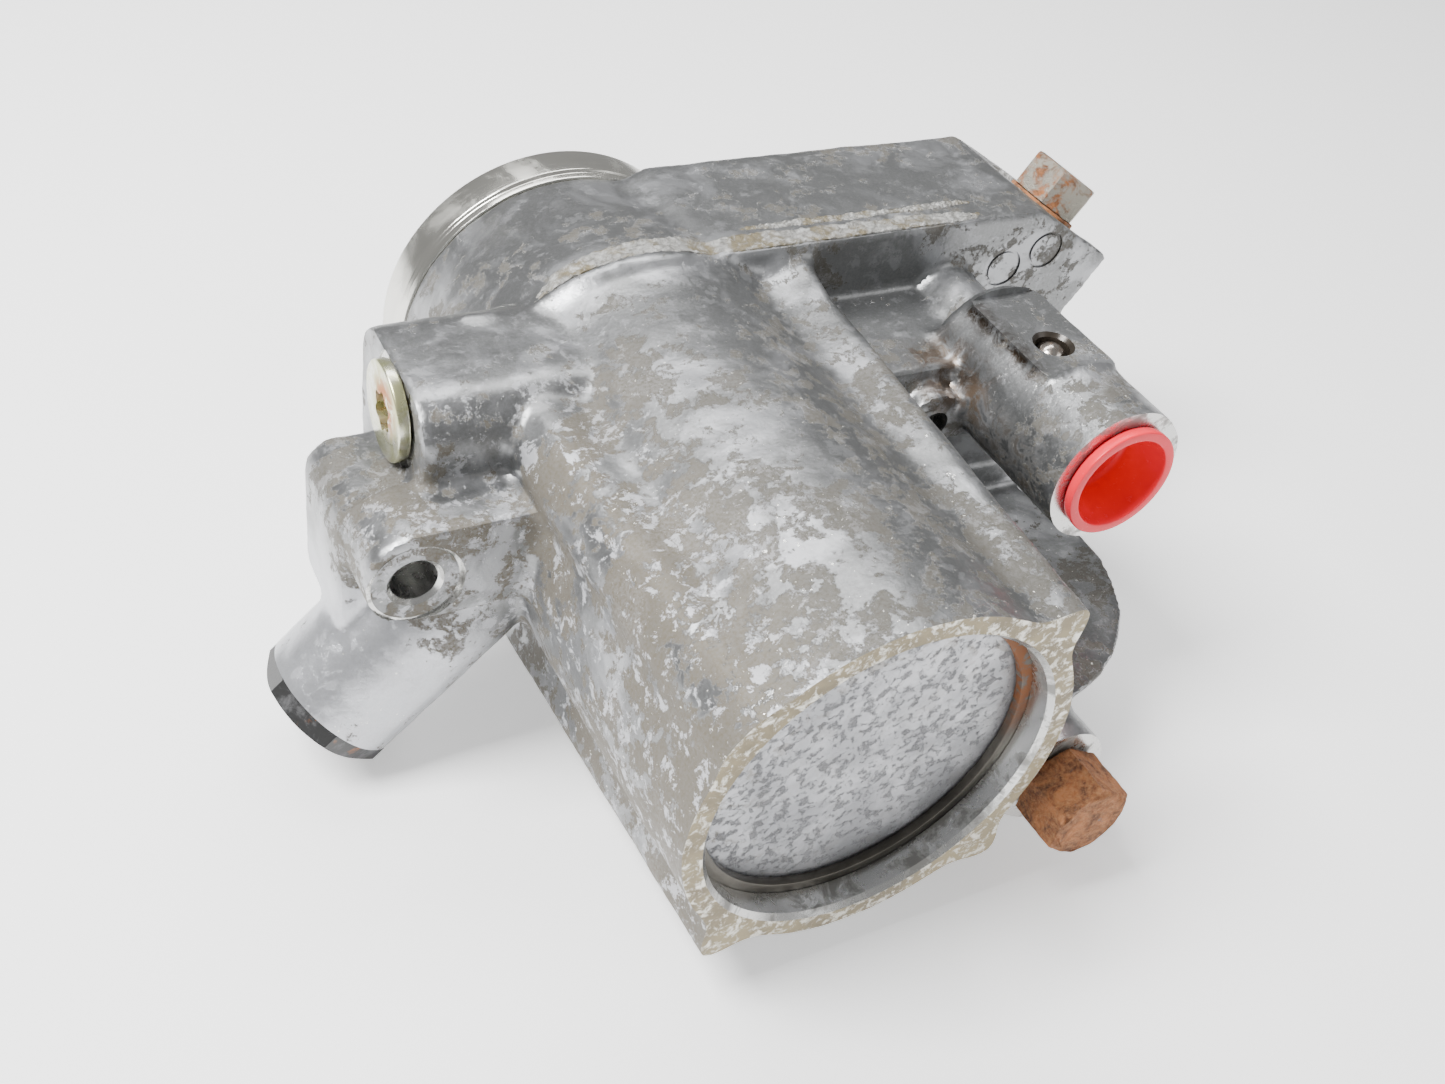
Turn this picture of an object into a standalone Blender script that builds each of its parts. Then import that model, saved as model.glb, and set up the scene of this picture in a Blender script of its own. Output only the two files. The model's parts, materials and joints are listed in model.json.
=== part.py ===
"""Axial piston pump: die-cast housing, swash plate, rotating block with seven pistons, plugs and fittings.

Modelled in metres, +Z up, with the shaft along Y and the closed rear end at -Y. Sizes below are in
millimetres times MM. Everything is placed from the centre of the rear rim, and the finished pump is then
moved so that the middle of its footprint stands on the origin.
"""
import math

import bmesh
import bpy
from mathutils import Matrix, Vector

MM = 0.001

# Fits and clearances
GAP = 0.3 * MM
RUNNING_GAP = 0.6 * MM
OVERRUN = 1.0 * MM
OVERLAP = 2.0 * MM

# Barrel of the main casting
BORE_RADIUS = 42.0 * MM
BARREL_WALL = 6.0 * MM
BARREL_DRAFT = 1.5 * MM
RIDGE_HEIGHT = 13.0 * MM
SHARP_RIDGE = (8.5 * MM, math.radians(6.5), 2)
BLUNT_RIDGE = (2.0 * MM, math.radians(11.0), 4)
RIDGES = {44: SHARP_RIDGE, 143.5: BLUNT_RIDGE, -131: SHARP_RIDGE, -45: SHARP_RIDGE}
BARREL_LENGTH = 131.0 * MM

# Front housing and the arm beside it
FRONT_RADIUS = 50.0 * MM
FRONT_END_RADIUS = 45.0 * MM
FRONT_TAPER = 40.0 * MM
FRONT_LENGTH = 49.0 * MM
ARM_LENGTH = 47.0 * MM
ARM_TOP = 48.0 * MM
ARM_REACH = 142.0 * MM
ARM_END_HEIGHT = 13.0 * MM
ARM_NOSE = 18.0 * MM
ARM_END_SLOPE = math.radians(58)
ARM_END_WIDTH = 29.0 * MM
ARM_UNDERSIDE = -10.0 * MM
ARM_CORNER = 6.0 * MM
ARM_FALL = 4.0 * MM
ARM_ROOT = 20.0 * MM

# Outlet port boss with its pad
PORT_X = 93.0 * MM
PORT_Z = 24.0 * MM
PORT_RADIUS = 19.0 * MM
PORT_END = 50.0 * MM
PORT_NECK = 11.5 * MM
PORT_NECK_START = 110.0 * MM
PORT_BORE = 14.5 * MM
PORT_BORE_DEPTH = 22.0 * MM
VALVE_BORE = 8.0 * MM
VALVE_BORE_DEPTH = 48.0 * MM
PAD_WIDTH = 22.0 * MM
PAD_LENGTH = 34.0 * MM
PAD_START = 22.0 * MM
PAD_HEIGHT = 17.0 * MM
PAD_HOLE = 4.6 * MM
PAD_HOLE_START = 12.0 * MM
PAD_BALL_SINK = 4.5 * MM
WEB_START = 96.0 * MM
WEB_BOTTOM = 4.0 * MM
WEB_TOP = 30.0 * MM
WEB_HOLE = 4.0 * MM
WEB_BOSS = 9.0 * MM
WEB_BOSS_X = 66.0 * MM
WEB_BOSS_Z = 17.0 * MM
WEB_BOSS_HEIGHT = 6.0 * MM
WEB_HOLE_DEPTH = 22.0 * MM

# Round side flange under the arm side
FLANGE_X = 65.0 * MM
FLANGE_Y = 72.0 * MM
FLANGE_TOP = -20.0 * MM
FLANGE_RADIUS = 51.5 * MM
FLANGE_THICKNESS = 12.0 * MM
FLANGE_EDGE = 2.0 * MM
FLANGE_UNDERCUT = 8.0 * MM
FLANGE_ROOT_LOW = (85.0 * MM, 98.0 * MM, -30.0 * MM)
FLANGE_ROOT_HIGH = (118.0 * MM, 140.0 * MM, -8.0 * MM)

# Bolt boss beside the rear rim
BOLT_BOSS_X = 62.0 * MM
BOLT_BOSS_Z = -31.0 * MM
BOLT_BOSS_RADIUS = 14.5 * MM
BOLT_BOSS_START = 8.0 * MM
BOLT_BOSS_LENGTH = 56.0 * MM
BOLT_RADIUS = 6.0 * MM
BOLT_LENGTH = 32.0 * MM
BOLT_HEAD_FLATS = 20.0 * MM
BOLT_HEAD_HEIGHT = 15.5 * MM

# Left side: plug block, mounting lug with its ear, and the slanted boss
BLOCK_REAR = 95.0 * MM
BLOCK_FRONT = 141.0 * MM
BLOCK_TOP = 42.0 * MM
BLOCK_BOTTOM = -14.0 * MM
BLOCK_ROUNDING = 12.0 * MM
BLOCK_FACE = -69.5 * MM
LUG_X = -76.0 * MM
LUG_Z = 9.0 * MM
LUG_RADIUS = 14.0 * MM
LUG_EDGE = 11.5 * MM
LUG_START = 80.0 * MM
LUG_THICKNESS = 17.0 * MM
LUG_HOLE = 5.5 * MM
EAR_THICKNESS = 29.0 * MM
EAR_WIDTH = 12.5 * MM
EAR_TOP = 18.5 * MM
EAR_BOTTOM = -24.0 * MM
EAR_ROUNDING = 8.0 * MM
SLANT_X = -89.0 * MM
SLANT_Y = 102.0 * MM
SLANT_Z = -43.0 * MM
SLANT_ANGLE = math.radians(45)
SLANT_RADIUS = 18.5 * MM
SLANT_LENGTH = 78.0 * MM
SLANT_BORE = 13.0 * MM
SLANT_BORE_DEPTH = 22.0 * MM
BOLT_WEB_RISE = 9.0 * MM
BOLT_WEB_DROP = 11.5 * MM
BOLT_ROOM = 4.0 * MM

# Plugs: flange or head, then shank
LEFT_PLUG_Y = 115.0 * MM
LEFT_PLUG_Z = 31.0 * MM
LEFT_PLUG_RADIUS = 12.0 * MM
LEFT_PLUG_THICKNESS = 3.0 * MM
LEFT_PLUG_SHANK = 8.0 * MM
LEFT_PLUG_DEPTH = 12.0 * MM
LEFT_PLUG_SOCKET = 4.5 * MM
SLANT_PLUG_FLATS = 32.0 * MM
SLANT_PLUG_TURN = math.radians(19)
SLANT_PLUG_THICKNESS = 5.5 * MM
SLANT_PLUG_DEPTH = 16.0 * MM
SLANT_GROOVE_START = 3.0 * MM
TOP_PLUG_FLATS = 20.0 * MM
TOP_PLUG_THICKNESS = 11.0 * MM
TOP_PLUG_SHANK = 8.0 * MM
TOP_PLUG_DEPTH = 13.0 * MM
TOP_PLUG_Y = 152.0 * MM
SEAL_RING_WIRE = 1.2 * MM
HEAD_CHAMFER = 0.8 * MM

# Rear closure
RECESS_DEPTH = 9.5 * MM
SNAP_RING_THICKNESS = 2.4 * MM
SNAP_RING_WIDTH = 4.0 * MM
SNAP_RING_OPENING = math.radians(16)
SNAP_GROOVE_DEPTH = 1.6 * MM
PLUG_THICKNESS = 12.5 * MM
PLUG_CHAMFER = 1.0 * MM
PLUG_RING_WIRE = 1.6 * MM

# Rotating group
PISTON_COUNT = 7
PISTON_CIRCLE = 24.0 * MM
PISTON_RADIUS = 6.8 * MM
PISTON_LENGTH = 38.0 * MM
PISTON_HOLLOW = 4.2 * MM
PISTON_HOLLOW_DEPTH = 24.0 * MM
BALL_RADIUS = 4.6 * MM
BALL_NECK = 2.6 * MM
SLIPPER_WALL = 2.2 * MM
SLIPPER_FLANGE = 8.6 * MM
SLIPPER_FLANGE_THICKNESS = 2.2 * MM
SWASH_ANGLE = math.radians(15)
BLOCK_GROUP_RADIUS = 35.0 * MM
BLOCK_GROUP_LENGTH = 44.0 * MM
BORE_FLOOR = 4.0 * MM
SWASH_ROOM = 20.0 * MM
DOWEL_EDGE = 5.0 * MM
VALVE_PLATE_THICKNESS = 5.0 * MM
VALVE_PLATE_RADIUS = 34.0 * MM
KIDNEY_HALF_ANGLE = math.radians(58)
KIDNEY_WIDTH = 5.0 * MM
DOWEL_RADIUS = 2.0 * MM
DOWEL_LENGTH = 7.0 * MM
SPRING_WIRE = 1.1 * MM
SPRING_TURNS = 3.5
SPRING_POCKET = 17.5 * MM
SPRING_POCKET_DEPTH = 13.0 * MM
SPRING_SEAT_THICKNESS = 2.4 * MM
SWASH_HOLE = 17.0 * MM

# Shaft, bearings and seal
SHAFT_RADIUS = 12.0 * MM
JOURNAL_RADIUS = 9.0 * MM
JOURNAL_BUSH_WALL = 2.5 * MM
JOURNAL_BUSH_LENGTH = 7.0 * MM
BEARING_SEAT = 14.0 * MM
BEARING_OUTER = 26.0 * MM
BEARING_WIDTH = 16.0 * MM
RACE_WALL = 2.1 * MM
BEARING_BALLS = 9
BEARING_START = 2.0 * MM
BORE_END_WALL = 3.0 * MM
SHAFT_ROOM = 4.0 * MM
COVER_ROOM = 2.0 * MM
SEAL_START = 2.0 * MM
CLIP_ROOM = 3.0 * MM
SHAFT_STICKOUT = 24.0 * MM
SHAFT_END_RADIUS = 11.0 * MM
KEY_WIDTH = 4.0 * MM
KEY_LENGTH = 16.0 * MM
KEY_HEIGHT = 5.0 * MM
SEAL_RADIUS = 18.0 * MM
SEAL_WIDTH = 7.0 * MM
SEAL_CLIP_THICKNESS = 1.5 * MM

# Front cover with its pilot
PILOT_RADIUS = 47.4 * MM
PILOT_LENGTH = 14.0 * MM
PILOT_CHAMFER = 1.0 * MM
SPIGOT_RADIUS = 37.0 * MM
SPIGOT_LENGTH = 12.0 * MM
FRONT_POCKET_DEPTH = 28.0 * MM
COVER_SCREWS = 4
COVER_SCREW_CIRCLE = 41.2 * MM
COVER_SCREW_RADIUS = 2.2 * MM
COVER_SCREW_HEAD = 3.9 * MM
COVER_SCREW_HEAD_HEIGHT = 4.5 * MM
COVER_SCREW_LENGTH = 18.0 * MM
COVER_SCREW_SOCKET = 2.0 * MM

# Port cap and the check valve behind it
CAP_RIM_RADIUS = 15.6 * MM
CAP_RIM_THICKNESS = 3.3 * MM
CAP_WALL = 1.8 * MM
CAP_INSERT = 14.0 * MM
CAP_FLOOR_DEPTH = 11.0 * MM
CHECK_BALL_RADIUS = 4.8 * MM
CHECK_SEAT_LENGTH = 6.0 * MM
CHECK_SEAT_START = 14.0 * MM
CHECK_SEAT_BORE = 3.6 * MM
CHECK_LIFT = 1.5 * MM
CHECK_SPRING_RADIUS = 3.4 * MM
CHECK_SPRING_WIRE = 0.7 * MM
CHECK_SPRING_TURNS = 3.5

# Facets around a circle
BARREL_FACETS = 80
ROUND_LARGE = 36
ROUND_MEDIUM = 20
ROUND_SMALL = 14
ROUND_TINY = 8
PISTON_FACETS = 12
ARC_STEPS = 3
TAB_STEPS = 4
COIL_STEPS = 8

X_AXIS = Vector((1, 0, 0))
Y_AXIS = Vector((0, 1, 0))
Z_AXIS = Vector((0, 0, 1))

# Stations along the shaft, from the rear rim
plug_rear = RECESS_DEPTH + GAP
plug_front = plug_rear + PLUG_THICKNESS
valve_plate_rear = plug_front + GAP
valve_plate_front = valve_plate_rear + VALVE_PLATE_THICKNESS
block_rear = valve_plate_front + GAP
block_front = block_rear + BLOCK_GROUP_LENGTH
stroke = 2 * PISTON_CIRCLE * math.tan(SWASH_ANGLE)
slipper_radius = BALL_RADIUS + GAP + SLIPPER_WALL
slipper_rear = block_front + stroke + RUNNING_GAP
ball_station = slipper_rear + 0.62 * BALL_RADIUS
slipper_face = ball_station + BALL_RADIUS + GAP + SLIPPER_FLANGE_THICKNESS
piston_front = slipper_rear - RUNNING_GAP
piston_rear = piston_front - PISTON_LENGTH
swash_reach = PISTON_CIRCLE + SLIPPER_FLANGE
swash_centre = slipper_face + RUNNING_GAP + swash_reach * math.tan(SWASH_ANGLE)
bore_end = BARREL_LENGTH - BORE_END_WALL
front_face = BARREL_LENGTH + FRONT_LENGTH
bearing_rear = bore_end + BEARING_START
bearing_front = bearing_rear + BEARING_WIDTH
cover_face = front_face + GAP
pilot_front = cover_face + PILOT_LENGTH
shaft_front = pilot_front + SHAFT_STICKOUT
seal_rear = cover_face + SEAL_START
port_depth = PORT_END + PORT_BORE_DEPTH
valve_depth = port_depth + VALVE_BORE_DEPTH


def material(name, colour, roughness, metallic):
    """A Principled material with one colour, roughness and metallic value."""
    made = bpy.data.materials.new(name)
    made.use_nodes = True
    shader = made.node_tree.nodes["Principled BSDF"]
    shader.inputs["Base Color"].default_value = (*colour, 1)
    shader.inputs["Roughness"].default_value = roughness
    shader.inputs["Metallic"].default_value = metallic
    made.diffuse_color = (*colour, 1)
    return made


def finish_object(name, mesh, finish, location=(0, 0, 0), direction=Z_AXIS):
    """Link a mesh as an object whose local Z points along direction."""
    made = bpy.data.objects.new(name, mesh)
    bpy.context.collection.objects.link(made)
    made.location = location
    made.rotation_mode = "QUATERNION"
    made.rotation_quaternion = Z_AXIS.rotation_difference(Vector(direction))
    made.parent = pump_frame
    if finish:
        mesh.materials.append(finish)
    mesh.shade_smooth()
    mesh.set_sharp_from_angle(angle=math.radians(35))
    return made


def mesh_from(name, form):
    """Close a bmesh with its faces pointing out and turn it into a mesh."""
    bmesh.ops.remove_doubles(form, verts=form.verts, dist=0.001 * MM)
    bmesh.ops.recalc_face_normals(form, faces=form.faces)
    mesh = bpy.data.meshes.new(name)
    form.to_mesh(mesh)
    form.free()
    return mesh


def turned(name, profile, location, direction, finish=None, segments=ROUND_MEDIUM):
    """Spin a closed profile of (radius, height) points about the local Z axis."""
    form = bmesh.new()
    points = [form.verts.new((radius, 0, height)) for radius, height in profile]
    for start, end in zip(points, points[1:] + points[:1]):
        if start.co.x > 0 or end.co.x > 0:
            form.edges.new((start, end))
    bmesh.ops.spin(form, geom=form.verts[:] + form.edges[:], cent=(0, 0, 0), axis=(0, 0, 1),
                   angle=math.tau, steps=segments, use_merge=True)
    return finish_object(name, mesh_from(name, form), finish, location, direction)


def rod(name, radius, start, length, direction, finish=None, segments=ROUND_MEDIUM):
    """A plain cylinder from start along direction."""
    profile = [(0, 0), (radius, 0), (radius, length), (0, length)]
    return turned(name, profile, start, direction, finish, segments)


def tube(name, inner, outer, start, length, direction, finish=None, segments=ROUND_MEDIUM):
    """A plain ring from start along direction."""
    profile = [(inner, 0), (outer, 0), (outer, length), (inner, length)]
    return turned(name, profile, start, direction, finish, segments)


def box(name, low, high, finish=None):
    """A box between two corners."""
    form = bmesh.new()
    size = Vector(high) - Vector(low)
    bmesh.ops.create_cube(form, size=1)
    bmesh.ops.scale(form, vec=size, verts=form.verts)
    bmesh.ops.translate(form, vec=Vector(low) + size / 2, verts=form.verts)
    return finish_object(name, mesh_from(name, form), finish)


def prism(name, outline, rear, front, finish=None):
    """Extrude an outline of (x, z) points along Y, from rear to front."""
    form = bmesh.new()
    face = form.faces.new([form.verts.new((x, rear, z)) for x, z in outline])
    pushed = bmesh.ops.extrude_face_region(form, geom=[face])["geom"]
    moved = [item for item in pushed if isinstance(item, bmesh.types.BMVert)]
    bmesh.ops.translate(form, vec=(0, front - rear, 0), verts=moved)
    return finish_object(name, mesh_from(name, form), finish)


def hexagon(name, flats, start, height, direction, chamfer, finish=None, turn=0):
    """A hexagonal head, turned about its axis, with its outer corners turned off."""
    corner = flats / math.sqrt(3)
    head = rod(name, corner, start, height, direction, finish, 6)
    head.data.transform(Matrix.Rotation(turn, 4, "Z"))
    if chamfer:
        slope = [(0, -OVERRUN), (corner + OVERRUN, -OVERRUN), (corner + OVERRUN, height - chamfer),
                 (flats / 2, height), (0, height)]
        combine(head, "INTERSECT", [turned(name + "_turning", slope, start, direction)])
    return head


def combine(target, operation, tools):
    """Join, cut or intersect target with hidden tool objects, all in one step."""
    group = bpy.data.collections.new(f"{target.name}_{operation.lower()}")
    modifier = target.modifiers.new(group.name, "BOOLEAN")
    modifier.operation = operation
    modifier.solver = "EXACT"
    modifier.operand_type = "COLLECTION"
    modifier.collection = group
    for tool in tools:
        group.objects.link(tool)
        tool.hide_render = True
        tool.display_type = "WIRE"


def join(target, *tools):
    combine(target, "UNION", tools)


def cut(target, *tools):
    combine(target, "DIFFERENCE", tools)


def coil(name, radius, wire, start, length, turns, finish):
    """A wound spring along Y, made as a curve with a round bevel and filled ends."""
    curve = bpy.data.curves.new(name, "CURVE")
    curve.dimensions = "3D"
    curve.bevel_depth = wire
    curve.bevel_resolution = 1
    curve.use_fill_caps = True
    spline = curve.splines.new("POLY")
    steps = int(turns * COIL_STEPS)
    spline.points.add(steps)
    for step, point in enumerate(spline.points):
        angle = math.tau * step / COIL_STEPS
        along = wire + (length - 2 * wire) * step / steps
        point.co = (radius * math.cos(angle), along, radius * math.sin(angle), 1)
    curve.materials.append(finish)
    made = bpy.data.objects.new(name, curve)
    bpy.context.collection.objects.link(made)
    made.location = start
    made.parent = pump_frame
    return made


def barrel_radius(angle, share):
    """The barrel's outside: a circle with a ridge at each corner, both growing towards the front."""
    radius = BORE_RADIUS + BARREL_WALL + BARREL_DRAFT * share
    for place, (rim_height, spread, bluntness) in RIDGES.items():
        offset = abs((angle - math.radians(place) + math.pi) % math.tau - math.pi)
        height = rim_height + (RIDGE_HEIGHT - rim_height) * share
        radius += height * math.exp(-(offset / spread) ** bluntness)
    return radius


def make_barrel(finish):
    """The barrel, wider at its front end so that it leaves the die."""
    angles = [math.tau * step / BARREL_FACETS for step in range(BARREL_FACETS)]
    outline = [(math.cos(angle), math.sin(angle)) for angle in angles]
    barrel = prism("main_housing", outline, 0, BARREL_LENGTH, finish)
    for vertex in barrel.data.vertices:
        angle = math.atan2(vertex.co.z, vertex.co.x)
        radius = barrel_radius(angle, vertex.co.y / BARREL_LENGTH)
        vertex.co.x = radius * math.cos(angle)
        vertex.co.z = radius * math.sin(angle)
    return barrel


def arm_outline():
    """The arm seen from the rear: level top, sloped end face square to its plug, rising underside."""
    normal = Vector((math.cos(ARM_END_SLOPE), math.sin(ARM_END_SLOPE)))
    along = Vector((normal.y, -normal.x))
    foot = Vector((ARM_REACH, ARM_END_HEIGHT))
    tip = foot + normal * ARM_NOSE
    shoulder = tip - along * ARM_END_WIDTH
    return [(0, ARM_TOP - 2 * ARM_FALL), (ARM_ROOT, ARM_TOP), (shoulder.x - ARM_CORNER, ARM_TOP),
            tuple(shoulder), tuple(tip), tuple(foot),
            (ARM_REACH - ARM_FALL, ARM_UNDERSIDE), (PORT_X, ARM_UNDERSIDE - ARM_FALL),
            (0.6 * FRONT_RADIUS, -0.85 * FRONT_RADIUS), (0, -0.9 * FRONT_RADIUS)], normal, along, tip


def add_front(housing):
    """The round front housing and the arm."""
    outline, normal, along, tip = arm_outline()
    profile = [(0, BARREL_LENGTH - OVERLAP), (FRONT_RADIUS, BARREL_LENGTH - OVERLAP),
               (FRONT_RADIUS, front_face - FRONT_TAPER),
               ((FRONT_RADIUS + 2 * FRONT_END_RADIUS) / 3, front_face - FRONT_TAPER / 3),
               (FRONT_END_RADIUS, front_face), (0, front_face)]
    join(housing,
         turned("front_round", profile, (0, 0, 0), Y_AXIS, segments=ROUND_LARGE),
         prism("arm", outline, BARREL_LENGTH, BARREL_LENGTH + ARM_LENGTH))
    seat = tip - along * ARM_END_WIDTH / 2
    return Vector((seat.x, TOP_PLUG_Y, seat.y)), Vector((normal.x, 0, normal.y))


def add_port(housing):
    """The port boss with its pad, the web that ties it to the barrel, and the flange's root."""
    pad_rear = PORT_END + PAD_START
    join(housing,
         rod("port_boss", PORT_RADIUS, (PORT_X, PORT_END, PORT_Z), PORT_NECK_START - PORT_END, Y_AXIS),
         rod("port_neck", PORT_NECK, (PORT_X, PORT_NECK_START - OVERLAP, PORT_Z),
             BARREL_LENGTH - PORT_NECK_START + 2 * OVERLAP, Y_AXIS),
         box("flange_root", FLANGE_ROOT_LOW, FLANGE_ROOT_HIGH),
         box("pad", (PORT_X - PAD_WIDTH / 2, pad_rear, PORT_Z),
             (PORT_X + PAD_WIDTH / 2, pad_rear + PAD_LENGTH, PORT_Z + PAD_HEIGHT)),
         box("web", (BORE_RADIUS + GAP, WEB_START, WEB_BOTTOM),
             (PORT_X, BARREL_LENGTH + OVERLAP, WEB_TOP)),
         rod("web_boss", WEB_BOSS, (WEB_BOSS_X, WEB_START - WEB_BOSS_HEIGHT, WEB_BOSS_Z),
             2 * WEB_BOSS_HEIGHT, Y_AXIS,
             segments=ROUND_SMALL))


def add_flange(housing):
    """The round side flange, thin at its edge and dished underneath."""
    edge = FLANGE_THICKNESS - FLANGE_EDGE
    profile = [(0, 0), (FLANGE_RADIUS - FLANGE_UNDERCUT, 0), (FLANGE_RADIUS, edge),
               (FLANGE_RADIUS, FLANGE_THICKNESS), (0, FLANGE_THICKNESS)]
    base = (FLANGE_X, FLANGE_Y, FLANGE_TOP - FLANGE_THICKNESS)
    join(housing, turned("side_flange", profile, base, Z_AXIS, segments=ROUND_LARGE))


def add_bolt_boss(housing):
    """The bolt boss beside the rear rim, with a web to the barrel."""
    start = (BOLT_BOSS_X, BOLT_BOSS_START, BOLT_BOSS_Z)
    end = BOLT_BOSS_START + BOLT_BOSS_LENGTH
    join(housing,
         rod("bolt_boss", BOLT_BOSS_RADIUS, start, BOLT_BOSS_LENGTH, Y_AXIS),
         box("bolt_web", (BORE_RADIUS * 0.75, BOLT_BOSS_START + OVERLAP, BOLT_BOSS_Z - BOLT_WEB_DROP),
             (BOLT_BOSS_X, end - OVERLAP, BOLT_BOSS_Z + BOLT_WEB_RISE)))


def add_left_side(housing):
    """The plug block, the mounting lug, its ear, and the slanted boss."""
    lug_end = LUG_START + LUG_THICKNESS
    ear_end = lug_end + EAR_THICKNESS
    outward = Vector((-math.cos(SLANT_ANGLE), 0, -math.sin(SLANT_ANGLE)))
    slant_end = Vector((SLANT_X, SLANT_Y, SLANT_Z))
    join(housing,
         plug_block(),
         prism("lug", tab_outline(LUG_X - LUG_EDGE, LUG_Z - LUG_EDGE, LUG_Z + LUG_RADIUS, LUG_EDGE),
               LUG_START, lug_end + OVERLAP),
         prism("ear", tab_outline(LUG_X - EAR_WIDTH, EAR_BOTTOM, EAR_TOP, EAR_ROUNDING),
               lug_end, ear_end),
         rod("slant_boss", SLANT_RADIUS, slant_end, SLANT_LENGTH, -outward))
    return slant_end, outward


def plug_block():
    """The block around the left plug, reaching in to the barrel, with its two upper edges rounded."""
    outline = [(BLOCK_FRONT, BLOCK_BOTTOM), (BLOCK_REAR, BLOCK_BOTTOM)]
    top = BLOCK_TOP - BLOCK_ROUNDING
    for centre, first in ((BLOCK_REAR + BLOCK_ROUNDING, 180), (BLOCK_FRONT - BLOCK_ROUNDING, 90)):
        for step in range(TAB_STEPS + 1):
            angle = math.radians(first - 90 * step / TAB_STEPS)
            outline.append((centre + BLOCK_ROUNDING * math.cos(angle),
                            top + BLOCK_ROUNDING * math.sin(angle)))
    block = prism("plug_block", [(-y, z) for y, z in outline], BLOCK_FACE, 0)
    block.data.transform(Matrix.Rotation(math.radians(-90), 4, "Z"))
    return block


def tab_outline(left, bottom, top, rounding):
    """A tab that reaches out from the barrel to the left, with its two outer corners rounded."""
    outline = [(-BORE_RADIUS - GAP, bottom), (-BORE_RADIUS - GAP, top)]
    for centre_z, first in ((top - rounding, 90), (bottom + rounding, 180)):
        for step in range(TAB_STEPS + 1):
            angle = math.radians(first + 90 * step / TAB_STEPS)
            outline.append((left + rounding + rounding * math.cos(angle),
                            centre_z + rounding * math.sin(angle)))
    return outline


def bore_housing(housing, top_seat, top_normal, slant_end, slant_out):
    """Every bore of the casting, cut after its outside is whole."""
    pad_top = PORT_Z + PAD_HEIGHT
    hole_y = PORT_END + PAD_START + PAD_HOLE_START
    lug_through = LUG_THICKNESS + EAR_THICKNESS + 2 * OVERRUN
    groove = RECESS_DEPTH - SNAP_RING_THICKNESS - GAP
    thread_depth = COVER_SCREW_LENGTH - PILOT_LENGTH + COVER_SCREW_HEAD_HEIGHT + 3 * OVERRUN
    threads = [rod("cover_thread", COVER_SCREW_RADIUS + GAP, (x, front_face + OVERRUN, z),
                   thread_depth, -Y_AXIS, segments=ROUND_TINY) for x, z in cover_screw_places()]
    cut(housing,
        box("pad_flat", (PORT_X - PORT_RADIUS, PORT_END + PAD_START, pad_top),
            (PORT_X + PORT_RADIUS, PORT_END + PAD_START + PAD_LENGTH, pad_top + PORT_RADIUS)),
        rod("main_bore", BORE_RADIUS, (0, -OVERRUN, 0), bore_end + OVERRUN, Y_AXIS,
            segments=ROUND_LARGE),
        tube("snap_groove", BORE_RADIUS - OVERRUN, BORE_RADIUS + SNAP_GROOVE_DEPTH, (0, groove, 0),
             RECESS_DEPTH - groove + GAP, Y_AXIS, segments=ROUND_LARGE),
        rod("bearing_bore", BEARING_OUTER + GAP, (0, bore_end - OVERRUN, 0),
            bearing_front - bore_end + GAP + OVERRUN, Y_AXIS),
        rod("shaft_bore", SHAFT_RADIUS + SHAFT_ROOM, (0, bearing_front, 0), front_face - bearing_front,
            Y_AXIS),
        rod("front_pocket", SPIGOT_RADIUS + GAP, (0, front_face - FRONT_POCKET_DEPTH, 0),
            FRONT_POCKET_DEPTH + OVERRUN, Y_AXIS, segments=ROUND_LARGE),
        rod("port_bore", PORT_BORE, (PORT_X, PORT_END - OVERRUN, PORT_Z), PORT_BORE_DEPTH + OVERRUN,
            Y_AXIS),
        rod("valve_bore", VALVE_BORE, (PORT_X, port_depth - OVERRUN, PORT_Z),
            VALVE_BORE_DEPTH + OVERRUN, Y_AXIS, segments=ROUND_SMALL),
        rod("pad_bore", PAD_HOLE, (PORT_X, hole_y, pad_top + OVERRUN), PAD_HEIGHT - VALVE_BORE / 2,
            -Z_AXIS, segments=ROUND_SMALL),
        rod("web_hole", WEB_HOLE, (WEB_BOSS_X, WEB_START - WEB_BOSS_HEIGHT - OVERRUN, WEB_BOSS_Z),
            WEB_HOLE_DEPTH, Y_AXIS,
            segments=ROUND_TINY),
        rod("bolt_bore", BOLT_RADIUS + GAP, (BOLT_BOSS_X, BOLT_BOSS_START - OVERRUN, BOLT_BOSS_Z),
            BOLT_LENGTH + BOLT_ROOM, Y_AXIS, segments=ROUND_SMALL),
        rod("left_plug_bore", LEFT_PLUG_SHANK + GAP, (BLOCK_FACE - OVERRUN, LEFT_PLUG_Y, LEFT_PLUG_Z),
            LEFT_PLUG_DEPTH + 2 * OVERRUN, X_AXIS, segments=ROUND_SMALL),
        rod("lug_hole", LUG_HOLE, (LUG_X, LUG_START - OVERRUN, LUG_Z), lug_through, Y_AXIS,
            segments=ROUND_SMALL),
        rod("slant_bore", SLANT_BORE, slant_end + slant_out * OVERRUN, SLANT_BORE_DEPTH + OVERRUN,
            -slant_out),
        rod("top_plug_bore", TOP_PLUG_SHANK + GAP, top_seat + top_normal * OVERRUN,
            TOP_PLUG_DEPTH + 2 * OVERRUN, -top_normal, segments=ROUND_SMALL),
        *threads)


def cover_screw_places():
    for number in range(COVER_SCREWS):
        angle = math.tau * (number + 0.5) / COVER_SCREWS
        yield COVER_SCREW_CIRCLE * math.cos(angle), COVER_SCREW_CIRCLE * math.sin(angle)


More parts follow.
